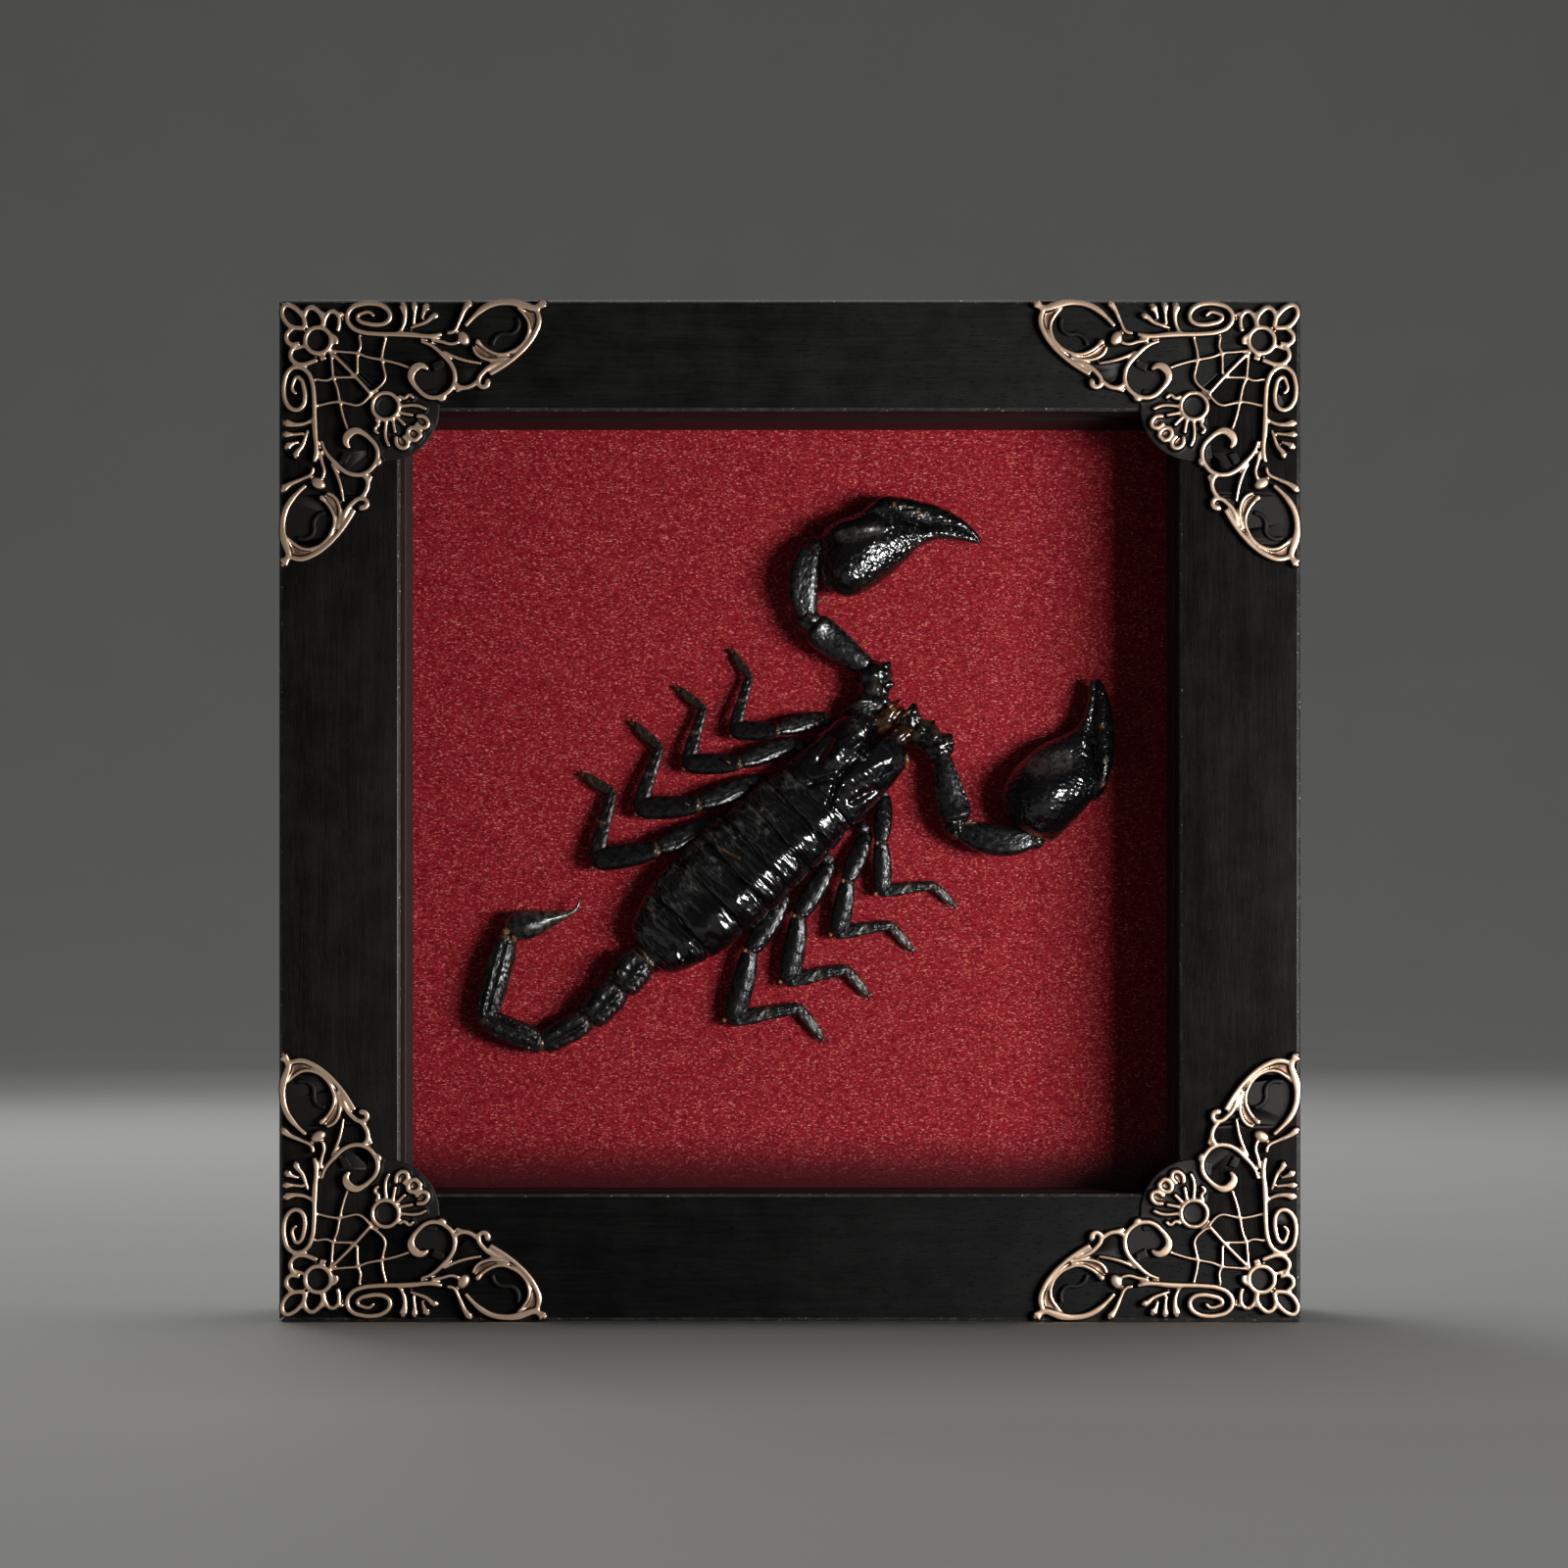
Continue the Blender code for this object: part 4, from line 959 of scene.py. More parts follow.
def abdomen_relief(place, normal):
    """Folds across each plate, a few long dents, a raised shoulder and a crumpled flank."""
    top = 0.30 + 0.70 * max(0.0, normal.z)
    fold = 0.19 * folds(place, 1.3, 0.20) + 0.17 * folds(place, 2.6, 0.30, 7.0)
    fold += 0.08 * folds(place, 4.6, 0.75, 3.0)
    fold -= 0.13 * bell(folds(place, 1.7, 0.22, 21.0), 0.045)
    fold -= 0.10 * bell(folds(place, 2.6, 0.9, 31.0), 0.05) * clamped(place.y * 0.25)
    dents = 0.20 * noise.fractal(Vector((place.x * 0.33, place.y * 0.20, 3.0)), 0.8, 2.0, 2)
    fine = 0.05 * noise.fractal(place * 1.7, 0.8, 2.0, 3)
    flank = bell(abs(place.y) - 8.8, 1.6) * bell(place.z - 3.5, 2.2)
    crumple = 0.24 * noise.fractal(place * 0.9, 0.7, 2.2, 3) * flank
    line = -0.22 * bell(place.z - 3.0, 0.35) * bell(abs(place.y) - 9.0, 1.5)
    shoulder = 0.50 * near_line(place, (-2.0, -3.2), (-37.0, -3.0), 2.0)
    return (fold + dents + fine + shoulder) * top + crumple + line


def make_abdomen(shell):
    stations = []
    for plate, following in zip(PLATES, PLATES[1:]):
        start, left, right, high = plate
        length = following[0] - start
        for share, wide, rise in PLATE_STEPS:
            mix = share * 0.9
            wide_left = (left + (following[1] - left) * mix) * wide
            wide_right = (right + (following[2] - right) * mix) * wide
            tall = high + (following[3] - high) * mix + rise
            stations.append((start + length * share, wide_left, wide_right, 0.45, tall))
    rear, left, right, high = PLATES[-1]
    stations.append((rear, left, right, 0.7, high))
    stations = ABDOMEN_FRONT + stations[1:] + ABDOMEN_TIP
    piece = skin("abdomen_shell", stations, round_section(16, 0.85, 0.78), 3)
    sculpt(piece, abdomen_relief)

    def rust(place):
        streak = 0.45 * near_line(place, (-18.9, 5.2), (-17.6, 1.6), 0.20)
        edge = 0.30 * bell(abs(place.y) - 8.8, 0.9) * bell(place.z - 2.4, 1.2)
        return streak * (0.7 + 0.6 * folds(place, 2.0, 0.8)) + edge

    def dust(place):
        flank = 1.0 / (1.0 + math.exp(-(place.y - 2.5) * 0.8))
        veins = bell(folds(place, 0.8, 0.30, 11.0), 0.07) + bell(folds(place, 1.5, 0.55, 4.0), 0.05)
        patch = max(0.0, noise.fractal(place * 0.28, 0.8, 2.0, 3) * 2.2)
        return flank * (1.1 * veins * (0.35 + patch) + 0.45 * patch) + 0.12 * veins

    tint(piece, rust, dust)
    laid(piece, TRUNK)
    finished(piece, ["abdomen"], "black_shell", shell)


def make_mouth(amber):
    """The two short mouth claws in front of the carapace, each a block with two hooks."""
    def tan(place):
        front = 0.12 * bell(place.x - 16.8, 0.9) * max(0.0, noise.noise(place * 0.9) + 0.3)
        seam = 0.5 * bell(place.x - 19.0, 0.35) * max(0.0, noise.noise(place * 0.8) + 0.25)
        return front + seam - 1.2 * max(0.0, place.x - 19.6)

    for side, middle in (("left", 2.3), ("right", -1.9)):
        block = skin("mouth_block", [
            (14.2, middle + 1.2, middle - 1.2, 2.6, 5.2),
            (15.2, middle + 1.6, middle - 1.5, 2.1, 6.0),
            (16.9, middle + 1.7, middle - 1.6, 1.9, 6.4),
            (18.6, middle + 1.5, middle - 1.4, 2.0, 5.7),
            (19.9, middle + 0.9, middle - 0.9, 2.4, 4.7),
        ], round_section(12, 0.8, 0.8), 3)
        sculpt(block, lambda place, normal: 0.55 * noise.fractal(place * 0.55, 0.9, 2.0, 2)
               + 0.05 * noise.noise(place * 1.7))
        parts = [block]
        for offset, reach in ((1.0, 21.3), (-0.8, 20.8)):
            hook = skin("mouth_finger", [
                (18.0, middle + offset + 0.9, middle + offset - 0.8, 2.6, 5.6),
                (19.4, middle + offset + 0.7, middle + offset - 0.6, 2.7, 5.2),
                (20.5, middle + offset * 0.8 + 0.4, middle + offset * 0.8 - 0.4, 2.9, 4.6),
                (reach, middle + offset * 0.6 + 0.12, middle + offset * 0.6 - 0.12, 3.0, 3.5),
            ], round_section(8), 3)
            sculpt(hook, lambda place, normal: 0.12 * noise.noise(place * 1.4))
            parts.append(hook)
        piece = joined(parts, "mouth_claw_" + side)
        tint(piece, tan)
        laid(piece, TRUNK)
        finished(piece, ["chelicera_" + side], "amber_shell", amber)


# Two eyes on the middle ridge and three on each front corner: along, left, height and radius
EYES = [
    (8.9, 0.85, 8.35, 0.28), (8.9, -0.20, 8.35, 0.28),
    (14.9, 5.6, 6.1, 0.20), (14.3, 6.0, 5.9, 0.20), (13.6, 6.4, 5.7, 0.17),
    (14.6, -4.9, 6.0, 0.20), (14.0, -5.3, 5.8, 0.20), (13.4, -5.7, 5.6, 0.17),
]


def make_eyes(bead):
    beads = []
    for along, left, rise, radius in EYES:
        nothing_selected()
        bpy.ops.mesh.primitive_uv_sphere_add(segments=16, ring_count=10, radius=radius,
                                             location=(along, left, rise))
        bpy.ops.object.transform_apply(location=True)
        beads.append(bpy.context.object)
    piece = joined(beads, "eyes")
    laid(piece, TRUNK)
    finished(piece, [], "black_shell", bead)


# How far a ring or a limb joint reaches into its neighbours, so that no gap shows
OVERLAP = 0.35

# The tail: where each ring starts, its height off the board and the ring's half width
TAIL_JOINTS = [
    (-25.4, 60.6, 4.0, 3.05),
    (-29.2, 55.7, 3.7, 2.65),
    (-34.5, 50.2, 3.5, 2.10),
    (-42.4, 45.9, 3.3, 2.05),
    (-52.2, 50.0, 3.2, 2.10),
    (-48.4, 64.1, 3.2, 0.0),
]

# Soft bits at the tail's joints: place, height, half sizes, heading and how tan
TAIL_BITS = [
    (-24.7, 60.9, 4.2, (0.8, 2.1, 1.2), 39.0, 0.10),
    (-29.0, 56.2, 4.4, (0.9, 1.7, 1.3), 52.0, 0.10),
    (-34.6, 50.4, 4.2, (0.7, 1.3, 1.1), 40.0, 0.35),
    (-42.4, 45.9, 4.0, (0.6, 1.1, 1.0), 5.0, 0.30),
    (-52.2, 49.9, 3.9, (0.8, 1.2, 1.0), -70.0, 0.12),
    (-48.6, 65.1, 4.2, (0.7, 0.6, 0.8), 30.0, 0.7),
    (-47.2, 64.0, 4.0, (0.5, 0.6, 0.8), 0.0, 0.60),
]


def tail_ring(name, length, teeth, levels, profile):
    """A tail ring with a trough along its back and toothed keels beside it, modelled with
    half width 1 and then brought to unit length."""
    stations = [(share * length, wide, -wide, -wide * 0.95, wide * 0.95) for share, wide in profile]
    ring = skin(name, stations, round_section(12, 0.85, 0.9), levels)

    def relief(place, normal):
        share = place.x / length
        turn = math.atan2(place.z, place.y)
        body = clamped((share - 0.05) * 9.0) * clamped((0.97 - share) * 9.0)
        shake = 0.9 * noise.noise(Vector((share * teeth * 0.6, turn, 1.0)))
        tooth = 0.5 + 0.5 * math.sin(share * math.tau * teeth + shake)
        form = -0.10 * bell(turn - math.pi / 2, 0.24)
        for lift in (turn, math.pi - turn):
            form += 0.12 * bell(lift - 0.72, 0.08) * (0.10 + tooth)
            form += 0.11 * bell(lift - 0.12, 0.09) * (0.15 + tooth)
            form += 0.035 * bell(lift - 1.25, 0.07)
            form -= 0.05 * bell(lift - 0.40, 0.14)
        grain = 0.06 * noise.fractal(place * 1.9, 0.7, 2.1, 4) + grains(place, 3.6, 0.06)
        return form * body + grain

    sculpt(ring, relief)
    laid(ring, Matrix.Diagonal((1.0 / length, 1.0, 1.0, 1.0)))
    tint(ring, lambda place: 0.55 * bell(place.x - 0.99, 0.025) + 0.4 * bell(place.x - 0.01, 0.02),
         lambda place: 0.5 + noise.noise(place * 3.0))
    return ring


def make_tail(shell):
    """Three short rings and two long ones, each copied from a pattern, a raised dimple and the
    soft bits between the rings."""
    short = tail_ring("short_tail_ring", 2.5, 7, 3, [
        (0.0, 0.60), (0.04, 0.80), (0.14, 0.97), (0.42, 1.06), (0.70, 1.05), (0.88, 0.92),
        (0.97, 0.72), (1.0, 0.55)])
    long = tail_ring("long_tail_ring", 6.0, 17, 4, [
        (0.0, 0.55), (0.02, 0.72), (0.09, 0.88), (0.30, 1.0), (0.62, 1.08), (0.86, 0.98),
        (0.97, 0.76), (1.0, 0.55)])
    parts = []
    for k, (here, after) in enumerate(zip(TAIL_JOINTS, TAIL_JOINTS[1:])):
        start = Vector(here[:3])
        end = Vector(after[:3])
        reach = (end - start).normalized() * OVERLAP
        copy = twin(long if k > 2 else short)
        parts.append(laid(copy, between(start - reach, end + reach, here[3], here[3])))
    bpy.data.objects.remove(short)
    bpy.data.objects.remove(long)
    nothing_selected()
    bpy.ops.mesh.primitive_torus_add(major_segments=24, minor_segments=10, major_radius=0.42,
                                     minor_radius=0.17)
    dimple = bpy.context.object
    tint(dimple, 0.25, 1.0)
    parts.append(laid(dimple, on_board(-28.9, 58.1, 0.0, 6.6)))
    for x, z, rise, radii, heading, tan in TAIL_BITS:
        parts.append(knob(x, z, rise, radii, heading, 0.16, tan))
    piece = joined(parts, "tail_shell")
    finished(piece, ["tail"], "black_shell", shell)


def bent_rings(stations, section):
    """Rings square to a bent line of (x, y, z, half width, half height)."""
    rings = []
    for k, (x, y, z, wide, tall) in enumerate(stations):
        before = Vector(stations[max(k - 1, 0)][:2])
        after = Vector(stations[min(k + 1, len(stations) - 1)][:2])
        ahead = (after - before).normalized()
        wide *= let_out(section)
        tall *= let_out(section)
        rings.append([(x - ahead.y * across * wide, y + ahead.x * across * wide, z + up * tall)
                      for across, up in section])
    return rings


def make_stinger(shell):
    """The swollen last ring and its hooked point, on one bent line."""
    stations = [
        (-0.3, 1.1, 3.2, 0.8, 0.8),
        (0.2, 1.3, 3.2, 1.6, 1.5),
        (1.3, 1.4, 3.3, 2.55, 2.3),
        (2.8, 1.6, 3.4, 2.75, 2.6),
        (5.0, 2.0, 3.35, 2.3, 2.2),
        (7.2, 2.75, 3.2, 1.45, 1.5),
        (9.0, 3.1, 3.1, 0.90, 0.95),
        (10.4, 3.5, 3.0, 0.60, 0.62),
        (11.5, 4.15, 2.9, 0.42, 0.42),
        (12.1, 5.0, 2.85, 0.28, 0.28),
        (12.3, 5.9, 2.8, 0.18, 0.18),
        (12.2, 6.6, 2.8, 0.09, 0.09),
    ]
    piece = extruded("stinger_shell", bent_rings(stations, round_section(12)))
    rounder(piece, 3)

    def relief(place, normal):
        body = 1.0 - clamped((place.x - 1.0) / 9.0)
        long = Vector((place.x * 0.35, place.y * 1.6, place.z * 1.6))
        return (0.11 * noise.fractal(long, 0.8, 2.0, 3) + 0.10 * bell(place.y - 1.0, 0.35)) * body

    sculpt(piece, relief)
    tint(piece, lambda place: 0.9 * bell(place.x + 0.2, 0.35) + 0.25 * bell(place.x - 10.5, 1.2),
         lambda place: 0.6 + noise.noise(place * 0.8))
    laid(piece, on_board(-48.3, 64.6))
    finished(piece, ["stinger"], "black_shell", shell)


# The claws and their arms

CLAW_LEFT = on_board(5.6, 126.2, 11.7)
CLAW_RIGHT = on_board(40.2, 82.4, 65.1)
# The hand with its fixed finger, and the movable finger, each as (along, left, right, low, high)
LEFT_HAND = [
    (-0.3, 3.2, -0.9, 3.0, 5.8),
    (0.5, 5.9, -2.6, 1.9, 7.2),
    (2.1, 7.5, -4.1, 1.1, 8.6),
    (4.1, 8.2, -4.9, 0.8, 9.4),
    (6.3, 8.6, -4.6, 0.7, 9.7),
    (8.6, 8.8, -3.6, 0.8, 9.5),
    (10.7, 8.8, -2.7, 1.0, 9.0),
    (12.5, 8.2, -1.9, 1.4, 8.3),
    (13.9, 7.0, -0.9, 1.8, 7.6),
    (15.3, 5.7, 0.0, 2.3, 6.9),
    (16.7, 4.7, 1.0, 2.7, 6.3),
    (18.2, 4.1, 1.75, 3.0, 5.9),
    (20.4, 3.9, 1.95, 3.1, 5.7),
    (23.0, 3.15, 1.35, 3.3, 5.3),
    (25.4, 1.95, 0.45, 3.5, 4.9),
    (26.8, 0.9, -0.15, 3.7, 4.6),
    (27.3, 0.3, -0.25, 3.9, 4.3),
]
LEFT_FINGER = [
    (8.6, 8.7, 7.9, 4.6, 6.0),
    (9.3, 9.3, 7.3, 3.9, 6.9),
    (10.6, 10.0, 7.1, 3.2, 7.4),
    (12.3, 10.6, 7.0, 2.7, 7.7),
    (13.8, 10.5, 6.5, 2.3, 7.7),
    (15.3, 10.15, 5.4, 2.3, 7.6),
    (17.3, 9.45, 4.35, 2.5, 7.2),
    (19.5, 8.45, 3.75, 2.8, 6.7),
    (22.0, 7.05, 3.05, 3.1, 6.2),
    (24.4, 5.15, 2.1, 3.4, 5.7),
    (26.0, 3.4, 1.1, 3.6, 5.3),
    (27.1, 1.6, 0.2, 3.8, 4.8),
    (27.6, 0.5, -0.2, 3.9, 4.5),
]
RIGHT_HAND = [
    (-0.3, -0.2, -4.1, 3.0, 6.0),
    (0.5, 3.5, -5.0, 1.9, 7.2),
    (1.8, 5.0, -5.7, 1.2, 8.3),
    (3.5, 6.1, -6.3, 0.9, 9.1),
    (5.5, 6.6, -6.9, 0.7, 9.6),
    (7.6, 6.4, -7.5, 0.7, 9.7),
    (9.6, 5.8, -8.1, 0.8, 9.5),
    (11.3, 5.1, -8.3, 1.0, 9.0),
    (12.9, 4.4, -7.9, 1.3, 8.4),
    (14.5, 3.5, -6.9, 1.7, 7.8),
    (16.3, 1.9, -5.5, 2.2, 7.1),
    (17.8, 0.5, -4.2, 2.5, 6.6),
    (19.3, -0.55, -3.3, 2.8, 6.1),
    (21.7, -0.95, -2.6, 3.1, 5.7),
    (24.2, -0.65, -1.9, 3.3, 5.3),
    (26.8, 0.3, -1.0, 3.5, 4.9),
    (28.2, 0.7, 0.1, 3.7, 4.5),
]
RIGHT_FINGER = [
    (9.4, -7.7, -8.5, 4.4, 5.8),
    (10.2, -7.4, -8.9, 3.8, 6.7),
    (11.6, -7.2, -9.3, 3.1, 7.2),
    (13.3, -6.9, -9.35, 2.7, 7.5),
    (14.9, -6.2, -9.1, 2.3, 7.5),
    (16.4, -5.2, -8.75, 2.3, 7.5),
    (17.8, -4.2, -8.3, 2.4, 7.3),
    (19.2, -3.2, -7.75, 2.6, 6.9),
    (21.0, -2.5, -7.0, 2.9, 6.5),
    (23.0, -1.85, -5.95, 3.1, 6.1),
    (25.2, -1.25, -4.6, 3.4, 5.6),
    (27.1, -0.5, -2.9, 3.6, 5.2),
    (28.2, -0.2, -1.5, 3.8, 4.8),
    (28.7, -0.3, -0.9, 3.9, 4.5),
]


def grains(place, per_mm, height):
    """Small round grains, close together."""
    distance = noise.voronoi(place * per_mm)[0][0]
    return height * max(0.0, 1.0 - distance * 1.6)


def make_palm(side, hand, matrix, shell, swelling, keels, worn, dimples):
    """Grainy palm and fixed finger. The swelling of the flank and the keels are lines from start
    to end, the worn spot is a line and its width, and the dimples of the wrist are places."""
    def relief(place, normal):
        top = max(0.0, normal.z)
        spot = near_line(place, *worn)
        grain = grains(place, 1.5, 0.15) + grains(place + Vector((5.0, 3.0, 1.0)), 2.6, 0.06)
        uneven = 0.16 * noise.fractal(place * 0.30, 0.8, 2.0, 3)
        wobble = 0.6 + 0.8 * noise.noise(place * 0.8)
        raised = wobble * sum(0.24 * near_line(place, start, end, 0.5) for start, end in keels)
        raised += 1.5 * near_line(place, *swelling, 4.2)
        pits = sum(bell((place - Vector(pit)).length, 0.7) for pit in dimples)
        return grain * (1.0 - 0.5 * spot) + uneven + (raised - 0.30 * spot) * top - 0.4 * pits

    def dust(place):
        spot = near_line(place, *worn) * (1.3 + noise.noise(place * 1.5))
        return spot + 0.5 * bell(place.z - 3.5, 2.4)

    piece = skin("claw_palm_" + side, hand, round_section(12, 0.95, 0.95), 4)
    sculpt(piece, relief)
    tint(piece, lambda place: 0.35 * bell(place.x + 0.2, 0.35), dust)
    laid(piece, matrix)
    finished(piece, ["claw_" + side], "black_shell", shell)


def make_finger(side, finger, matrix, shell, spots):
    """A movable finger with small teeth on its inner edge and a few pale spots."""
    def relief(place, normal):
        tooth = 0.5 + 0.5 * math.sin(place.x * 5.2)
        rows = 0.07 * tooth * bell(normal.z, 0.3)
        long = Vector((place.x * 0.3, place.y * 0.9, place.z * 0.9))
        return grains(place, 1.9, 0.07) + rows + 0.14 * noise.fractal(long, 0.8, 2.0, 3)

    def pale(place):
        marks = sum(bell((place.xy - Vector(spot)).length, 0.30) for spot in spots)
        return 0.85 * marks * (place.z > 5.0)

    piece = skin("claw_finger_" + side, finger, round_section(12, 0.95, 0.95), 4)
    sculpt(piece, relief)
    tint(piece, pale, lambda place: 0.2 + 0.8 * noise.noise(place * 0.7))
    laid(piece, matrix)
    finished(piece, ["finger_" + side], "black_shell", shell)


def make_claws(palm, shell):
    make_palm("left", LEFT_HAND, CLAW_LEFT, palm,
              swelling=((-0.5, -3.2), (2.6, -2.6)),
              keels=[((3.0, 6.4), (17.0, 4.6)), ((9.0, 8.0), (14.0, 6.4))],
              worn=((4.6, 5.0), (10.3, 4.8), 1.1),
              dimples=[(0.6, 3.9, 7.5)])
    make_palm("right", RIGHT_HAND, CLAW_RIGHT, palm,
              swelling=((-1.5, 0.6), (7.0, -1.4)),
              keels=[((10.5, -5.6), (20.0, -1.6))],
              worn=((10.4, 2.8), (13.4, -1.0), 1.7),
              dimples=[(2.4, -1.6, 8.6), (0.6, -2.9, 6.6)])
    make_finger("left", LEFT_FINGER, CLAW_LEFT, shell,
                spots=[(14.2, 8.8), (15.8, 8.2), (18.0, 6.8), (18.4, 6.2)])
    make_finger("right", RIGHT_FINGER, CLAW_RIGHT, shell,
                spots=[(16.2, -7.2), (21.4, -4.4), (12.6, -8.6)])


# Cross sections of (across, up): a flat face that leans from a ridge on the left, the same
# with a sloping flank beyond the ridge, a roof, and a hollow face behind a ridge on the left.
RIDGED = [(1.03, 0.15), (0.94, 0.68), (0.66, 0.90), (0.24, 0.84), (-0.24, 0.76), (-0.70, 0.62),
          (-0.99, 0.12), (-0.86, -0.48), (-0.45, -0.85), (0.0, -0.98), (0.45, -0.85), (0.88, -0.45)]
KEELED = [(1.03, 0.10), (0.91, 0.64), (0.46, 0.89), (0.12, 0.84), (-0.28, 0.76), *RIDGED[5:]]
ROOFED = [(1.03, 0.05), (0.93, 0.30), (0.66, 0.60), (0.30, 0.88), (-0.05, 0.92), (-0.50, 0.70),
          (-0.97, 0.20), (-0.86, -0.45), (-0.45, -0.85), (0.0, -0.98), (0.45, -0.85), (0.88, -0.50)]
HOLLOW = [(1.0, 0.20), (0.88, 0.66), (0.60, 0.88), (0.20, 0.82), (-0.25, 0.78), (-0.70, 0.70),
          (-0.98, 0.30), (-0.90, -0.40), (-0.50, -0.85), (0.0, -0.98), (0.50, -0.85), (0.90, -0.40)]


def limb_part(name, length, profile, section, rough, teeth, count, levels=3, keel=0.0, bow=0.0,
              tan=0.0, dull=0.7):
    """A limb joint, modelled from (share, half width, half height) and brought to unit length.

    Teeth stand in two rows, count of them to a row. The keel is a grainy crest on the left that
    keeps its gloss, the bow bends the part to the left, and dull is how dusty it is."""
    stations = [(share * length, wide, -wide, -tall, tall) for share, wide, tall in profile]
    part = skin(name, stations, section, levels)

    def relief(place, normal):
        grain = rough * noise.fractal(place * 1.3, 0.7, 2.1, 4)
        share = place.x / length
        turn = math.atan2(normal.z, normal.y)
        body = bell(share - 0.5, 0.42)
        tooth = 0.25 + 0.75 * math.sin(share * math.tau * count / 2 + place.z) ** 2
        row = bell(turn - 0.62, 0.15) + bell(turn - math.pi + 0.62, 0.15)
        edge = keel * bell(turn - 1.10, 0.35) * body
        grain += grains(place, 1.9, 0.045 + 0.4 * edge)
        return grain + 0.3 * edge + teeth * row * body * tooth

    sculpt(part, relief)
    for point in part.data.vertices:
        share = point.co.x / length
        point.co.y += bow * 4.0 * share * (1.0 - share)

    def dust(place):
        patchy = 0.6 * noise.noise(Vector((place.x * length, place.y, place.z)))
        return dull + patchy - 3.0 * keel * bell(place.y - 1.45, 0.5)

    laid(part, Matrix.Diagonal((1.0 / length, 1.0, 1.0, 1.0)))
    tint(part, tan, dust)
    return part


def knob(x, z, rise, radii, heading, rough=0.20, tan=0.0):
    """A lumpy joint block: a cube rounded off, then knocked about."""
    nothing_selected()
    bpy.ops.mesh.primitive_cube_add(size=2.4)
    block = bpy.context.object
    rounder(block, 4)
    shift = Vector((x, z, rise))

    def relief(place, normal):
        lump = rough * noise.fractal(place * 1.2 + shift, 0.7, 2.1, 3)
        point = noise.voronoi(place * 1.5 + shift)[0][0]
        return lump + rough * max(0.0, 1.0 - point * 2.2)

    sculpt(block, relief)
    tint(block, lambda place: tan + 0.15 * max(0.0, noise.noise(place * 1.2 + shift)),
         lambda place: 0.4 + noise.noise(place + shift))
    size = Matrix.Diagonal((radii[0], radii[1], radii[2], 1.0))
    return laid(block, on_board(x, z, heading, rise) @ size)


def thorn(x, z, rise, heading, length, width):
    """A blunt thorn that stands out of a joint block."""
    taper = ((-0.6, 1.0), (0.0, 1.0), (0.45, 0.72), (0.85, 0.40), (1.0, 0.2))
    stations = [(share * length, wide * width, -wide * width, -wide * width, wide * width)
                for share, wide in taper]
    spike = skin("thorn", stations, round_section(6), 2)
    sculpt(spike, lambda place, normal: 0.10 * noise.noise(place * 1.6 + Vector((x, z, 0.0))))
    tint(spike, 0.0, 0.3)
    return laid(spike, on_board(x, z, heading, rise))


# The arms. A block or an amber bit is its x, z and rise, its half sizes and its heading. A
# thorn is its x, z and rise, its heading, its length and its half width. The femur and the
# patella are laid from one (x, z, rise) to another.
ARMS = {
    "left": {
        "blocks": [
            (12.9, 103.6, 3.6, (3.3, 2.0, 2.3), 20),
            (14.3, 106.2, 4.1, (2.9, 2.6, 2.5), 70),
            (14.5, 109.0, 4.3, (2.4, 2.8, 2.4), 75),
            (3.4, 117.9, 4.2, (2.3, 2.1, 2.2), 110),
            (4.5, 130.4, 4.4, (2.1, 1.9, 2.2), 80),
        ],
        "thorns": [(16.2, 110.3, 4.8, 40, 1.3, 1.0), (16.6, 107.2, 4.8, 15, 1.4, 1.1),
                   (12.2, 108.2, 4.6, 190, 1.0, 0.8), (15.9, 104.4, 4.4, 0, 1.3, 1.0)],
        "amber": [(4.9, 121.7, 3.4, (0.9, 0.35, 0.6), 20), (4.5, 118.8, 4.0, (1.1, 0.4, 0.8), 15)],
        "femur": ((14.2, 109.7, 4.0), (3.7, 117.6, 4.4)),
        "patella": ((3.0, 117.9, 4.6), (4.0, 131.2, 4.8)),
    },
    "right": {
        "blocks": [
            (20.6, 101.0, 3.6, (2.2, 2.0, 2.2), -50),
            (23.2, 98.4, 4.0, (2.9, 2.5, 2.4), -35),
            (25.2, 96.6, 4.2, (2.6, 2.7, 2.4), -60),
            (28.3, 83.3, 4.1, (2.2, 2.1, 2.1), -50),
            (41.9, 81.0, 4.2, (1.6, 1.9, 2.0), -10),
        ],
        "thorns": [(21.0, 102.8, 4.4, 75, 1.4, 1.1), (24.0, 100.2, 4.6, 55, 1.2, 0.9),
                   (26.6, 98.0, 4.8, 30, 1.4, 1.1), (26.8, 95.6, 4.6, 5, 1.0, 0.8)],
        "amber": [
            (30.4, 83.8, 5.6, (0.8, 0.26, 0.5), 28),
            (31.2, 83.6, 5.4, (0.7, 0.24, 0.5), 8),
            (42.4, 81.3, 5.6, (0.4, 0.8, 0.8), -15),
            (19.6, 101.9, 5.0, (1.8, 0.36, 0.5), 44),
            (19.9, 94.6, 4.6, (0.45, 0.9, 0.7), 10),
        ],
        "femur": ((26.0, 95.4, 4.0), (28.6, 83.6, 4.3)),
        "patella": ((28.3, 82.9, 4.4), (42.0, 81.0, 4.7)),
    },
}


